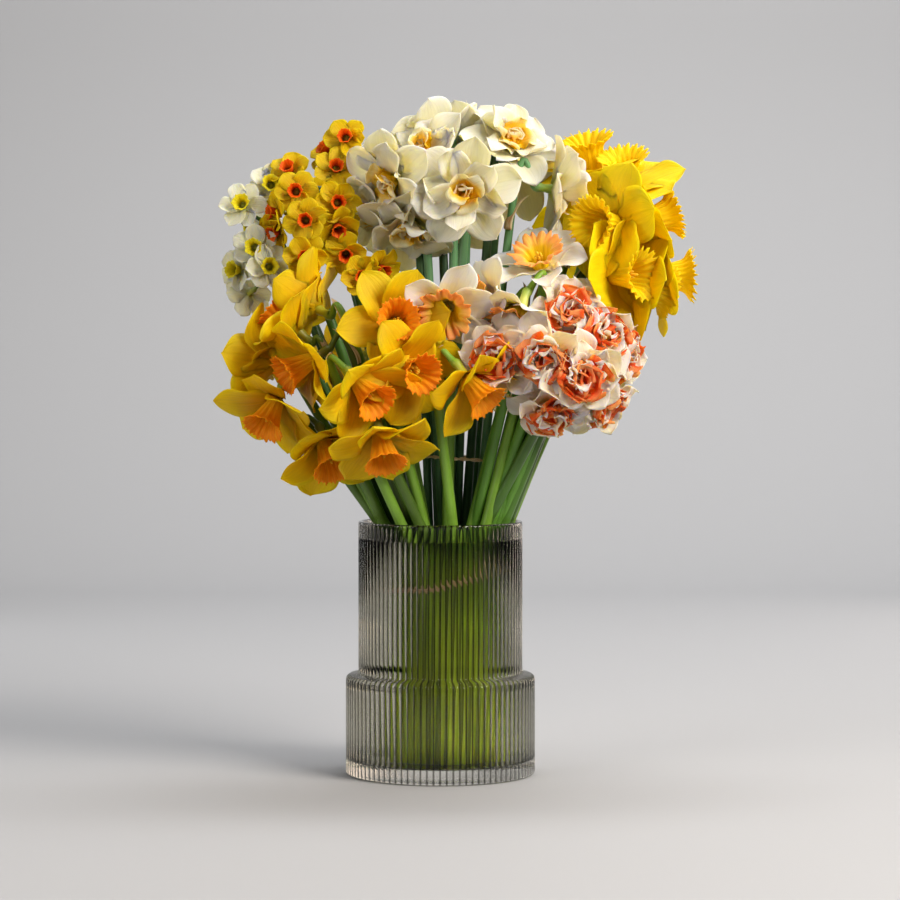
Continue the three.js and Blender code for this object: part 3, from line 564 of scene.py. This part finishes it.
def fresh_stem(name, low, high, tip):
    """Cut daffodil stem: waxy, in soft patches 22 mm wide, and paler from 190 mm down to 20 mm,
    towards its cut foot under the water: partly its own paleness there, and partly painted light
    that makes up for the light the glass and water hold back. Its fine lengthwise fibres lie 0.5 mm
    apart round its 26 mm and run for about 42 mm. The second pattern coordinate is the way left to
    the bloom, in tenths of a metre."""
    material, tree, pattern = start_material(name)
    along = add_node(tree, "SeparateXYZ", inputs={0: pattern.outputs["UV"]})
    ramp = add_node(tree, "ValToRGB", inputs={"Fac": along.outputs["Y"]},
                    stops=[(0.06, tip), (0.16, high)])
    # Painted light, partly the stem's own paleness: the foot colour low is blended in from 190 mm
    # down to 20 mm, lighter than the stem there would be.
    level = add_node(tree, "SeparateXYZ", inputs={0: pattern.outputs["Object"]})
    foot_paling_and_painted_light = add_node(tree, "MapRange", inputs={
        "Value": level.outputs["Z"], "From Min": 190 * MM, "From Max": 20 * MM})
    height = add_node(tree, "Mix", {"data_type": "RGBA"}, {
        0: foot_paling_and_painted_light.outputs["Result"], 6: ramp.outputs["Color"], 7: linear(low)})
    patches = add_node(tree, "TexNoise", inputs={
        "Vector": pattern.outputs["Object"], "Scale": spots(22.22), "Detail": 2.0})
    colour, grain = shaded(tree, pattern, along, height.outputs[2], (52.0, 2.4, 1.0),
                           patches.outputs["Fac"], (0.6, 1.4), (0.68, 1.22), (0.35, 1.2))
    finish_material(tree, grain, 0.35, 0.3, {
        "Base Color": colour, "Roughness": 0.42, "Subsurface Weight": 0.15,
        "Subsurface Radius": (0.6, 1.0, 0.3), "Subsurface Scale": 1.5 * MM})
    return material


STEM_STEPS, STEM_SIDES, KNEE_SPAN, SLIM_STEM = 10, 14, 3, 0.85
# A stem's radius: at its foot, through the tie, above it, at the knee, at the thin neck, over the
# ovary, and along the tube that widens into the petals; with the spans at which each is reached.
STEM_SPANS = [0, 1, 1.6, 2.8, 3, 3.3, 3.75, 4.1, 4.45, 5]
STEM_RADII = [4.2, 3.7, 4.2, 4.0, 3.3, 2.4, 2.5, 4.2, 3.2, 4.4]
HEAD_RADII = [4.2, 3.7, 4.0, 3.7, 3.6, 3.5, 3.3, 3.1, 3.1, 2.9]


def add_stems(name, stems, rights, radii, thickness, material):
    """One bunch's stems, as one piece. thickness scales them below their knees."""
    paths = smooth_path(np.array(stems), STEM_STEPS)
    spans = np.linspace(0, STEM_SPANS[-1], paths.shape[1])
    radius = np.interp(spans, STEM_SPANS, radii) * np.where(spans < KNEE_SPAN, thickness, 1)
    points, faces, uv = tubes(paths, np.broadcast_to(radius, paths.shape[:2]), rights,
                              STEM_SIDES, ridge=0.05)
    add_piece(name, "stems", "stems", points, faces, material, uv)


# Each stem's first colour is its foot's: its own pale yellow-green, made lighter still by painted
# light that makes up for the light the glass and water hold back.
GREENS = {
    "golden_trumpets": fresh_stem("golden_trumpet_stem", "D8F03C", "729C30", "B8B82A"),
    "split_cups": fresh_stem("split_cup_stem", "D8F03C", "729C30", "B9C060"),
    "coral_doubles": fresh_stem("coral_double_stem", "CCE83C", "5C8E2C", "B4C060"),
    "white_doubles": fresh_stem("white_double_stem", "CCE83C", "5F9060", "9FBF4A"),
    "yellow_trumpets": fresh_stem("yellow_trumpet_stem", "D8F03C", "729C30", "D0B820"),
}
bunch_stems = {bunch: [bloom_stem(row) for row in rows] for bunch, rows in BUNCHES.items()}
for bunch, rows in BUNCHES.items():
    rights = facing(rows)[1]
    thickness = SLIM_STEM if bunch == "white_doubles" else 1.0
    add_stems(bunch + "_stems", bunch_stems[bunch], rights, STEM_RADII, thickness, GREENS[bunch])
head_stems = [head_stem(knob) for knob, _ in HEADS.values()]
add_stems("floret_head_stems", head_stems, np.tile([1.0, 0, 0], (len(head_stems), 1)),
          HEAD_RADII, 1.0, fresh_stem("floret_head_stem", "CCE83C", "4C7C30", "5E8A30"))

# ---- Ties ------------------------------------------------------------------------------------
# Two thin strands of raffia, laid round each other and round the stems: one tie round the whole
# bundle inside the vase, one round the white doubles above the rim.


def dry_fibre(name, streaks, stops, relief, inputs):
    """Dried plant fibre, in fine lengthwise streaks: their scale, their colours, and the strength
    and height in mm of their relief."""
    material, tree, pattern = start_material(name)
    lines = add_node(tree, "Mapping", inputs={
        "Vector": pattern.outputs["UV"], "Scale": streaks})
    fibre = add_node(tree, "TexNoise", inputs={
        "Vector": lines.outputs["Vector"], "Scale": 1.0, "Detail": 3.0})
    ramp = add_node(tree, "ValToRGB", inputs={"Fac": fibre.outputs["Fac"]}, stops=stops)
    finish_material(tree, fibre.outputs["Fac"], *relief, {
        "Base Color": ramp.outputs["Color"], **inputs})
    return material


# Raffia: split palm leaf, pale tan and matt, with streaks 0.6 mm wide round each strand.
raffia = dry_fibre("dry_raffia", (8.0, 30.0, 1.0), [(0.3, "D0A468"), (0.7, "FFECC4")], (0.6, 0.2),
                   {"Roughness": 0.75})
TIE_STEPS, STRAND_SIDES, STRAND_RADIUS, STRAND_TURNS = 240, 8, 0.75, 9
UPPER_TIE_LEVEL = 250
# How far a tie's loop lies outside the middle lines of the outermost stems.
TIE_SEAT = 3.8


def crossing(stems, level):
    """Where stems pass a level, on the straight lines between their points."""
    points = np.array(stems)
    upper = np.argmax(points[:, :, 2] >= level, axis=1)
    which = np.arange(len(points))
    a, b = points[which, upper - 1], points[which, upper]
    return (a + (b - a) * ((level - a[:, 2]) / (b[:, 2] - a[:, 2]))[:, None])[:, :2]


def add_tie(name, node, stems, level, tilt):
    """Two strands on a loop round the stems: each winds round the loop's middle line, which
    rises by tilt mm from the bundle's middle to its right side."""
    at = crossing(stems, level)
    middle = at.mean(axis=0)
    around = np.linspace(0, 2 * np.pi, TIE_STEPS, endpoint=False)
    out = together(np.cos(around), np.sin(around))
    reach = np.max((at - middle) @ out.T, axis=0) + TIE_SEAT
    wind = STRAND_TURNS * around + np.pi * np.arange(2)[:, None]
    radius = reach + STRAND_RADIUS * (1 + np.cos(wind))
    height = level + tilt * out[:, 0] * reach / reach.max() + STRAND_RADIUS * np.sin(wind)
    loops = np.concatenate([middle + out * radius[..., None], height[..., None]], axis=-1)
    ahead = unit(np.roll(loops, -1, axis=1) - np.roll(loops, 1, axis=1))
    side = unit(np.cross(ahead, [0.0, 0.0, 1.0]))
    other = np.cross(side, ahead)
    turn = np.linspace(0, 2 * np.pi, STRAND_SIDES, endpoint=False)
    section = (side[:, :, None] * np.cos(turn)[:, None] + other[:, :, None] * np.sin(turn)[:, None])
    points = loops[:, :, None] + STRAND_RADIUS * section
    size = TIE_STEPS * STRAND_SIDES
    quads = grid_faces(TIE_STEPS + 1, STRAND_SIDES, wrap=True)[:, [0, 3, 2, 1]] % size
    faces = np.concatenate([quads, quads + size])
    one = together(turn / (2 * np.pi), np.arange(TIE_STEPS)[:, None] / 20).reshape(-1, 2)
    add_piece(name, node, "raffia", points.reshape(-1, 3), [faces], raffia, np.tile(one, (2, 1)))


every_stem = sum(bunch_stems.values(), []) + head_stems
add_tie("lower_raffia_tie", "tie_lower", every_stem, LOWER_TIE_LEVEL, 9.0)
add_tie("upper_raffia_tie", "tie_upper", bunch_stems["white_doubles"], UPPER_TIE_LEVEL, -2.0)

# ---- Golden trumpets -------------------------------------------------------------------------
# Front left: six golden petals that lie over each other like a pinwheel, and a long orange
# trumpet, pleated lengthwise, with a ragged rim. Both grow out of the stem's own neck.

PETAL_STEPS, PETAL_LINES = 18, 11
# The places along and across a petal, its thickness there in mm, thicker along its midrib and at
# its root and thin at its edge, and the thickness of a cup.
ALONG = np.sin(np.linspace(0, np.pi / 2, PETAL_STEPS))[None, :, None]
ACROSS = np.linspace(-1, 1, PETAL_LINES)[None, None, :]
PETAL_THICKNESS = 0.2 + 0.3 * (1 - ACROSS ** 2) * (1 - 0.6 * ALONG)
CUP_WALL = 0.45


def rim_steps(rows, columns, wrap):
    """The border of a grid, as steps from corner to corner, the way its faces run."""
    grid = np.arange(rows * columns).reshape(rows, columns)
    if wrap:
        first, last = grid[0][::-1], grid[-1]
        return np.concatenate([np.stack([edge, np.roll(edge, -1)], 1) for edge in (first, last)])
    loop = np.concatenate([grid[:, 0], grid[-1, 1:], grid[-2::-1, -1], grid[0, -2:0:-1]])
    return np.stack([loop, np.roll(loop, -1)], axis=1)


def shells(sheets, thickness, wrap=False):
    """Closed shells from sheets (sheet, row, column, xyz): each is moved half its thickness both
    ways along its normals, and the two sides are joined round the border."""
    along = np.gradient(sheets, axis=1)
    if wrap:
        across = np.roll(sheets, -1, axis=2) - np.roll(sheets, 1, axis=2)
    else:
        across = np.gradient(sheets, axis=2)
    normal = np.cross(along, across)
    normal /= np.linalg.norm(normal, axis=-1, keepdims=True) + 1e-9
    count, rows, columns, _ = sheets.shape
    half = np.broadcast_to(thickness, sheets.shape[:3])[..., None] / 2
    points = np.stack([sheets + normal * half, sheets - normal * half], axis=1)
    size = rows * columns
    front = grid_faces(rows, columns, wrap)
    border = rim_steps(rows, columns, wrap)
    edge = np.stack([border[:, 1], border[:, 0], border[:, 0] + size, border[:, 1] + size], 1)
    faces = np.concatenate([front, front[:, ::-1] + size, edge])
    starts = 2 * size * np.arange(count)[:, None, None]
    return points.reshape(-1, 3), (faces[None] + starts).reshape(-1, 4)


def petal_ring(rng, row, count=6, length=44, half=13, root=3, back=HUB_BACK, rise=(55, -5),
               turn=0, widest=0.52, blunt=1.7, base=0.5, cup=0.12, wave=1.2, waves=1.6, keel=0.8,
               twist=12, lean=8, sway=3, tuck=1.0, fray=0.0, curl=30, scatter=5):
    """A ring of petals (petal, step, line, xyz) of the bloom in this row. A petal runs out from
    near the axis on a curve whose slope, in degrees, turns evenly from the first to the second
    number of rise. Its half width swells as a sine up to widest and closes as a cosine raised by
    blunt. Across it the surface is a parabola of height cup, pressed in at the midrib by keel,
    and its edges are thrown in waves and frayed. Every second petal is tucked under the others.
    lean, curl, twist, sway and scatter say how far the petals differ in slope, at their tips, in
    spin about their length, sideways at the tip, and round the ring."""
    def vary(spread):
        return rng.uniform(-spread, spread, (count, 1, 1))
    u, v = ALONG, ACROSS
    swell = base + (1 - base) * np.sin(np.pi / 2 * np.minimum(u / widest, 1))
    close = np.cos(np.pi / 2 * np.clip((u - widest) / (1 - widest), 0, 1) ** blunt)
    wide = half * (1 + vary(0.08)) * np.maximum(swell * close, 0.03)
    long = length * (1 + vary(0.05))
    slope = np.radians(rise[0] + (rise[1] - rise[0]) * u + vary(lean) + vary(1.5 * lean) * u
                       + vary(curl) * u ** 4)
    step = np.diff(u, axis=1, prepend=0)
    out = root + long * np.cumsum(np.cos(slope) * step, axis=1)
    lift = -back + long * np.cumsum(np.sin(slope) * step, axis=1)
    lift = lift - tuck * (np.arange(count) % 2)[:, None, None]
    side_of_line = (np.arange(PETAL_LINES) >= PETAL_LINES // 2).astype(int)
    phase = rng.uniform(0, 2 * np.pi, (count, 1, 2))[:, :, side_of_line]
    height = cup * (1 + vary(1.2)) * wide * v ** 2 * 2
    height = height + wave * v ** 2 * np.sin(2 * np.pi * waves * u + phase) * np.minimum(3 * u, 1)
    height = height - keel * np.exp(-(v / 0.16) ** 2) * (1 - u)
    side = wide * v * (1 + fray * rng.uniform(-1, 1, (count, PETAL_STEPS, 1)) * v ** 2)
    spin = np.radians(twist + vary(twist)) * u
    across = side * np.cos(spin) - height * np.sin(spin) + vary(sway) * u ** 2
    above = side * np.sin(spin) + height * np.cos(spin)
    reach = out - above * np.sin(slope)
    tall = lift + above * np.cos(slope)
    around = (np.arange(count)[:, None, None] * 2 * np.pi / count + math.radians(turn)
              + np.radians(vary(scatter)))
    x = reach * np.cos(around) - across * np.sin(around)
    y = reach * np.sin(around) + across * np.cos(around)
    return placed(together(x, y, tall), row)


def petal_uv(count, along=ALONG):
    """Pattern coordinates of a ring's petals: across each from 0 to 1, raised by threes from
    petal to petal, and along it from 0 to 1."""
    both_faces = np.zeros((2, 1, 1))
    across = 0.5 + 0.48 * ACROSS[0] + 3 * np.arange(count)[:, None, None, None] + both_faces
    return together(across, along[0]).reshape(-1, 2)


CROWN_STEPS, CROWN_TURNS, CROWN_BACK = 22, 192, 3.3
# The places from a cup's foot to its rim.
UPWARD = np.linspace(0, 1, CROWN_STEPS)[:, None] ** 0.8


def crown(rng, row, length=27, foot=6, mouth=12.5, swell=1.2, lip=3.5, pleats=14, depth=0.6,
          frill=1.3, ragged=1.0):
    """The cup or trumpet of the bloom in this row (1, step, turn, xyz). Its radius runs from foot
    to mouth as a power of the way along, flares by lip in the last quarter, is pleated by a cosine
    that deepens towards the rim, and is frilled there by quicker waves, which also raise and
    lower the rim."""
    s = UPWARD
    a = np.linspace(0, 2 * np.pi, CROWN_TURNS, endpoint=False)[None, ::-1]
    near_rim = np.clip((s - 0.72) / 0.28, 0, 1)
    first, second, third = rng.uniform(0, 2 * np.pi, 3)
    uneven = 1 + 0.35 * np.sin(2 * a + first) * s
    pleat = depth * s * uneven * np.cos(pleats * a + 0.8 * np.sin(3 * a + second))
    quick = np.sin(2 * pleats * a + second) + 0.6 * np.sin(3 * pleats * a + third)
    radius = foot + (mouth - foot) * s ** swell + lip * near_rim ** 2 + pleat
    radius = radius + frill * near_rim ** 2 * quick * 0.5
    rim = 0.6 * np.cos(pleats * a + third) + 0.45 * quick
    height = length * s - CROWN_BACK + ragged * near_rim * rim
    return placed(together(radius * np.cos(a), radius * np.sin(a), height)[None], row)


def crown_uv():
    """Pattern coordinates of a cup: once round, and from its foot to its rim."""
    one = together(np.linspace(0, 1, CROWN_TURNS, endpoint=False)[::-1], UPWARD)
    return np.tile(one.reshape(-1, 2), (2, 1))


def petal_finish(name, stops, veins=15.0, relief=0.7, roughness=0.6, mottle=0.16, patch=0.0):
    """Living petal: silky, lit through, with fine veins from root to tip, and each petal a shade
    of its own. stops are the colours along it, from its root, as (place, hex). patch moves them
    to and fro along the petal in soft patches 17 mm wide. veins is how many lie across a petal,
    or round a cup: 15 across 30 mm are 2 mm apart."""
    material, tree, pattern = start_material(name)
    split = add_node(tree, "SeparateXYZ", inputs={0: pattern.outputs["UV"]})
    cloud = add_node(tree, "TexNoise", inputs={
        "Vector": pattern.outputs["Object"], "Scale": spots(16.67), "Detail": 2.0})
    moved = add_node(tree, "MapRange", {"clamp": False}, {
        "Value": cloud.outputs["Fac"], "From Min": 0.25, "From Max": 0.75,
        "To Min": -patch, "To Max": patch})
    where = add_node(tree, "Math", {"operation": "ADD"}, {
        0: split.outputs["Y"], 1: moved.outputs["Result"]})
    ramp = add_node(tree, "ValToRGB", inputs={"Fac": where.outputs["Value"]}, stops=stops)
    colour, vein = shaded(tree, pattern, split, ramp.outputs["Color"], (veins, 1.4, 1.0),
                          cloud.outputs["Fac"], (0.7, 1.25), (1 - mottle, 1.03), (1 - mottle, 1.0))
    finish_material(tree, vein, relief, 0.8, {
        "Base Color": colour, "Roughness": roughness, "Specular IOR Level": 0.2,
        "Subsurface Weight": 0.8, "Subsurface Radius": (1.0, 0.8, 0.3),
        "Subsurface Scale": 2.0 * MM})
    return material


def add_shells(node, ending, slot, sheets, material, wall=None):
    """Rings of petals, or cups with walls of this thickness, as one piece named after node."""
    cups = wall is not None
    points, faces, uvs, start = [], [], [], 0
    for sheet in sheets:
        own, quads = shells(sheet, wall if cups else PETAL_THICKNESS, cups)
        points.append(own)
        faces.append(quads + start)
        uvs.append(crown_uv() if cups else petal_uv(len(sheet)))
        start += len(own)
    add_piece(node + ending, node, slot, np.concatenate(points), [np.concatenate(faces)],
              material, np.concatenate(uvs))


def add_stamens(node, slot, row, length):
    """The style and six stamens of one bloom, length mm tall, as closed rods whose ends thicken
    to the stigma and the anthers."""
    turn = np.linspace(0, 2 * np.pi, 6, endpoint=False)
    t = np.linspace(0, 1, 7)[None, :, None]
    stand = np.concatenate([[[0, 0]], together(np.cos(turn), np.sin(turn))])[:, None, :]
    reach = np.concatenate([[1.0], 0.72 + 0.1 * np.cos(5 * turn)])[:, None, None] * length
    paths = np.concatenate([stand * (1.4 + 1.3 * t), -3 + (reach + 3) * t], axis=-1)
    radii = np.array([[0.7, 0.6, 0.6, 0.6, 0.6, 1.1, 0.7]]
                     + [[0.5, 0.4, 0.4, 0.5, 1.1, 1.2, 0.5]] * 6)
    points, faces, uv = tubes(paths, radii, np.tile([1.0, 0.0, 0.0], (7, 1)), 8)
    add_piece(node + "_stamens", node, slot, placed(points, row), faces, pollen, uv)


def blooms(bunch, seed):
    """For each bloom of a bunch: what draws its petals, what draws its cup, both from the same
    random numbers, its node and its row."""
    for i, row in enumerate(BUNCHES[bunch], 1):
        rng = np.random.default_rng(seed + i)
        yield partial(petal_ring, rng, row), partial(crown, rng, row), f"{bunch}_{i}", row


pollen = petal_finish("pollen_yellow", [(0.0, "F0C030"), (1.0, "E8A800")], veins=6, relief=0.3)
golden = petal_finish("golden_petal", [(0.0, "D0A800"), (0.35, "E9B800"), (1.0, "F0C000")])
orange = petal_finish("orange_trumpet", [(0.0, "FFC410"), (0.5, "FFA810"), (1.0, "FF8C04")],
                      veins=70, relief=0.8, roughness=0.65)
for ring, cup, node, row in blooms("golden_trumpets", 100):
    rings = [ring(length=45, half=17, rise=(40, 4), widest=0.5, blunt=1.8, wave=1.8, curl=35)]
    add_shells(node, "_petals", "golden_petals", rings, golden)
    add_shells(node, "_trumpet", "orange_trumpets", [cup()], orange, CUP_WALL)
    add_stamens(node, "golden_petals", row, 17)

# ---- Split cups ------------------------------------------------------------------------------
# Front middle: ivory petals, and a yellow cup that is split into lobes and lies open over them,
# apricot at its frill. Petals and cup grow out of the same neck.

ivory = petal_finish("ivory_petal", [(0.0, "E8DE90"), (0.3, "F8EED2"), (1.0, "FBF3DE")],
                     relief=0.4, mottle=0.06)
apricot = petal_finish("apricot_cup", [(0.0, "FFD200"), (0.6, "FFCC20"), (0.85, "FFB658"),
                                       (1.0, "FF9C54")], veins=50, relief=0.8, patch=0.15)
for ring, cup, node, row in blooms("split_cups", 200):
    rings = [ring(length=38, half=13, rise=(30, 5), blunt=2.0, wave=2.0)]
    add_shells(node, "_petals", "ivory_petals", rings, ivory)
    lobes = cup(length=17, foot=6, mouth=14, swell=1.2, lip=6, pleats=9, depth=1.4, frill=2.4,
                ragged=2.2)
    add_shells(node, "_cup", "apricot_cups", [lobes], apricot, CUP_WALL)
    add_stamens(node, "apricot_cups", row, 11)

# ---- Coral doubles ---------------------------------------------------------------------------
# Front right: doubles, whose stamens have grown into petals. White petals stand in layers round
# short, crumpled coral ruffles that are crowded between them.

white = petal_finish("white_petal", [(0.0, "FFC898"), (0.3, "FCDDBC"), (1.0, "FBEBD4")],
                     relief=0.5, mottle=0.08, patch=0.2)
coral = petal_finish("coral_ruffle", [(0.0, "FFE0C0"), (0.3, "FFA670"), (0.55, "FF7A34"),
                                      (0.8, "FF4C14"), (1.0, "FF8C54")], veins=30, patch=0.45)
for ring, _, node, _ in blooms("coral_doubles", 300):
    rings = [
        ring(length=33, half=12.5, rise=(16, 2), blunt=2.2, wave=2.6, waves=1.8, lean=13, curl=45,
             scatter=8),
        ring(length=28, half=10.5, rise=(45, 12), turn=30, back=2.5, blunt=2, wave=3, waves=2.2,
             lean=20, curl=50, scatter=18),
        ring(count=5, length=23, half=7.5, rise=(72, 28), turn=10, back=1.5, blunt=1.8, wave=3,
             waves=2.4, lean=24, twist=25, curl=50, scatter=25),
        ring(count=5, length=18, half=6, rise=(82, 48), turn=50, back=-1, widest=0.7, blunt=2.4,
             wave=3, waves=2.2, lean=20, twist=25, curl=50, scatter=30),
    ]
    add_shells(node, "_petals", "white_petals", rings, white)
    ruffles = [
        ring(length=21, half=12, rise=(60, 24), turn=15, back=1, widest=0.85, blunt=3, base=0.35,
             wave=3.2, waves=2.4, lean=16, twist=12, fray=0.08, scatter=15),
        ring(count=4, length=18, half=11, rise=(80, 40), turn=40, back=0, widest=0.85, blunt=3,
             base=0.35, wave=3.4, waves=2.6, lean=18, twist=16, fray=0.08, scatter=20),
        ring(count=3, length=14, half=8, root=1, rise=(90, 62), turn=5, back=-1, widest=0.85,
             blunt=3, base=0.4, wave=3, waves=2.2, lean=14, fray=0.08),
    ]
    add_shells(node, "_ruffles", "coral_ruffles", ruffles, coral)

# ---- White doubles ---------------------------------------------------------------------------
# Top middle: broad creamy petals in two layers, greenish at their roots, round a heart of small
# saffron and white petals.

cream = petal_finish("cream_petal", [(0.0, "D0CE5C"), (0.2, "F0E7C0"), (1.0, "F5EDD4")],
                     relief=0.5, mottle=0.09)
saffron = petal_finish("saffron_heart", [(0.0, "FFCC00"), (0.4, "FFB800"), (0.65, "FFBE44"),
                                         (0.9, "FBE8B8")], veins=18, relief=0.6, patch=0.25)
for ring, _, node, _ in blooms("white_doubles", 400):
    rings = [
        ring(length=41, half=15, rise=(14, 0), blunt=2.2, wave=2.6, waves=1.3, lean=12, curl=40,
             scatter=8),
        ring(count=5, length=34, half=12, rise=(38, 4), turn=30, back=3, blunt=2, wave=3,
             waves=1.6, lean=18, curl=45, scatter=18),
    ]
    add_shells(node, "_petals", "cream_petals", rings, cream)
    heart = [
        ring(count=4, length=20, half=9, rise=(70, 30), turn=20, back=1, widest=0.7, blunt=2.5,
             wave=3, waves=1.8, lean=22, curl=40, scatter=20, fray=0.06),
        ring(count=5, length=12, half=5.5, root=1, rise=(85, 55), back=0, widest=0.8, blunt=3,
             wave=2.5, waves=2.2, lean=14, fray=0.12),
    ]
    add_shells(node, "_heart", "saffron_hearts", heart, saffron)

# ---- Yellow trumpets -------------------------------------------------------------------------
# Top right: the largest blooms, clear yellow all over, with six broad smooth petals and a wide
# trumpet, deeply frilled at its rim.

clear_yellow = petal_finish("yellow_petal", [(0.0, "FFCC00"), (0.4, "FFD200"), (1.0, "FFD600")])
deep_yellow = petal_finish("yellow_trumpet", [(0.0, "FFD400"), (0.6, "FFD200"), (1.0, "FFCE00")],
                           veins=60, relief=0.8, roughness=0.65)
for ring, cup, node, row in blooms("yellow_trumpets", 500):
    rings = [ring(length=46, half=21, rise=(26, -2), widest=0.52, blunt=1.9, wave=1.4, cup=0.04,
                  twist=4, curl=16)]
    add_shells(node, "_petals", "yellow_petals", rings, clear_yellow)
    trumpet = cup(length=31, foot=7, mouth=13.5, swell=1.1, lip=6.5, pleats=17, depth=0.7,
                  frill=2.6, ragged=1.8)
    add_shells(node, "_trumpet", "yellow_petals", [trumpet], deep_yellow, CUP_WALL)
    add_stamens(node, "yellow_petals", row, 21)

# ---- Orange-cup and lime-cup heads -----------------------------------------------------------
# Top left and far left: several small florets on thin stalks from the top of one stem, amber
# with short orange-red cups, or greyish white with lime cups.

STALK_BEND, STALK_SIDES, SMALL_CUP_WALL = 20, 10, 0.4


def add_stalks(node, knob, florets):
    """The thin stalks from a head's knob to its florets, each with a small ovary."""
    way, right = facing(florets)
    middle = np.tile(knob, (len(florets), 1)).astype(float)
    heart = np.array(florets)[:, :3]
    bend = heart - way * STALK_BEND
    bend += 0.2 * (middle - bend)
    paths = smooth_path(np.stack([middle, bend, heart - way * 10, heart - way * 3], axis=1), 8)
    spans = np.linspace(0, 3, paths.shape[1])
    radius = np.interp(spans, [0, 1, 1.55, 1.8, 2.1, 3], [2.0, 1.4, 1.5, 2.5, 1.5, 2.6])
    points, faces, uv = tubes(paths, np.broadcast_to(radius, paths.shape[:2]), right, STALK_SIDES)
    add_piece(node + "_stalks", node, "stems", points, faces, stalk_green, uv)


stalk_green = fresh_stem("floret_stalk", "6E9A2E", "5E8A30", "B8B840")
amber = petal_finish("amber_petal", [(0.0, "C09400"), (0.4, "DAB000"), (1.0, "E4BC00")])
red_orange = petal_finish("orange_cup", [(0.0, "6A1E00"), (0.5, "D84A00"), (1.0, "F06400")],
                          veins=30, relief=0.6)
pale = petal_finish("pale_petal", [(0.0, "B8B868"), (0.3, "DEDABC"), (1.0, "E6E2CC")],
                    mottle=0.08)
lime = petal_finish("lime_cup", [(0.0, "8A9010"), (0.5, "D8C410"), (1.0, "E2D024")], veins=30)
SMALL_PETALS = {"half": 7.5, "root": 1.5, "wave": 0.8, "keel": 0.4, "tuck": 0.5, "sway": 1.5}
AMBER_PETALS = {"length": 17, "rise": (22, 8), "blunt": 2.2, **SMALL_PETALS}
PALE_PETALS = {"length": 18, "rise": (15, 2), "blunt": 2.0, **SMALL_PETALS}
ORANGE_CUP = {"length": 8, "foot": 3, "mouth": 5, "lip": 0.8, "pleats": 6, "depth": 0.3,
              "frill": 0.4, "ragged": 0.4}
LIME_CUP = {"length": 8.5, "foot": 3, "mouth": 5.6, "lip": 1.2, "pleats": 6, "depth": 0.4,
            "frill": 0.5, "ragged": 0.4}
KINDS = {
    "orange": (AMBER_PETALS, ORANGE_CUP, "amber_petals", amber, "orange_cups", red_orange),
    "lime": (PALE_PETALS, LIME_CUP, "pale_petals", pale, "lime_cups", lime),
}
for seed, (node, (knob, florets)) in enumerate(HEADS.items(), 600):
    petals, cup, petal_slot, petal_material, cup_slot, cup_material = KINDS[node.split("_")[0]]
    rng = np.random.default_rng(seed)
    rings, cups = [], []
    for row in florets:
        rings.append(petal_ring(rng, row, **petals))
        cups.append(crown(rng, row, **cup))
    add_shells(node, "_petals", petal_slot, rings, petal_material)
    add_shells(node, "_cups", cup_slot, cups, cup_material, SMALL_CUP_WALL)
    add_stalks(node, knob, florets)

# ---- Sheaths ---------------------------------------------------------------------------------
# The dry papery sheath that each bud came out of stays on top of the stem, at the bend: a long
# half tube that narrows to a torn tip.

SHEATH_LENGTH, SHEATH_RADIUS, SHEATH_WALL, SHEATH_STEPS = 34, 5.2, 0.25, 14
SHEATH_DROP, WHITE_SHEATH_DROP = 14, 36


def add_sheaths(name, rows, stems, drop):
    """One bunch's sheaths. Each leaves the stem drop mm under its bend and leans the way the
    bloom faces; its section is an arc that opens and narrows on the way to the tip."""
    rng = np.random.default_rng(len(rows))
    way = facing(rows)[0][:, None, None]
    rim, knee = np.array(stems)[:, 2:4, None, None].transpose(1, 0, 2, 3, 4)
    up = unit(knee - rim)
    t = np.linspace(0, 1, SHEATH_STEPS)[None, :, None, None]
    long = SHEATH_LENGTH * rng.uniform(0.75, 1.1, (len(rows), 1, 1, 1))
    lean = rng.uniform(0.1, 0.45, (len(rows), 1, 1, 1))
    line = knee + up * (long * t - drop) + way * (lean * long * t ** 2)
    out = unit(up * np.sum(up * way, axis=-1, keepdims=True) - way)
    open_angle = np.radians(90 - 36 * t) * ACROSS[..., None]
    wide = SHEATH_RADIUS * np.sqrt(np.maximum(1 - t ** 2.2, 0.004)) * (1 + 0.12 * np.sin(9 * t))
    sheet = line + wide * (out * np.cos(open_angle) + np.cross(up, out) * np.sin(open_angle))
    points, quads = shells(sheet, SHEATH_WALL)
    add_piece(name, "stems", "dry_sheath", points, [quads], sheath, petal_uv(len(rows), t[..., 0]))


# Dried spathe: papery and tan, with light coming through it, and darker ribs 1.4 mm apart that
# run along it.
sheath = dry_fibre("papery_sheath", (12.0, 1.5, 1.0), [(0.35, "A07A50"), (0.62, "E2CDA8")],
                   (0.9, 0.6), {"Roughness": 0.7, "Subsurface Weight": 0.5,
                                "Subsurface Radius": (1.0, 0.7, 0.4),
                                "Subsurface Scale": 1.5 * MM})
# The white doubles stand close, with their sheaths further down between them.
for bunch, rows in BUNCHES.items():
    drop = WHITE_SHEATH_DROP if bunch == "white_doubles" else SHEATH_DROP
    add_sheaths(bunch + "_sheaths", rows, bunch_stems[bunch], drop)

# ---- End -------------------------------------------------------------------------------------
# The sizes of the solids and of the finished model, side by side.

boxes = [[list(map(float, corner)) for corner in box] for box in (cad_box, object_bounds())]
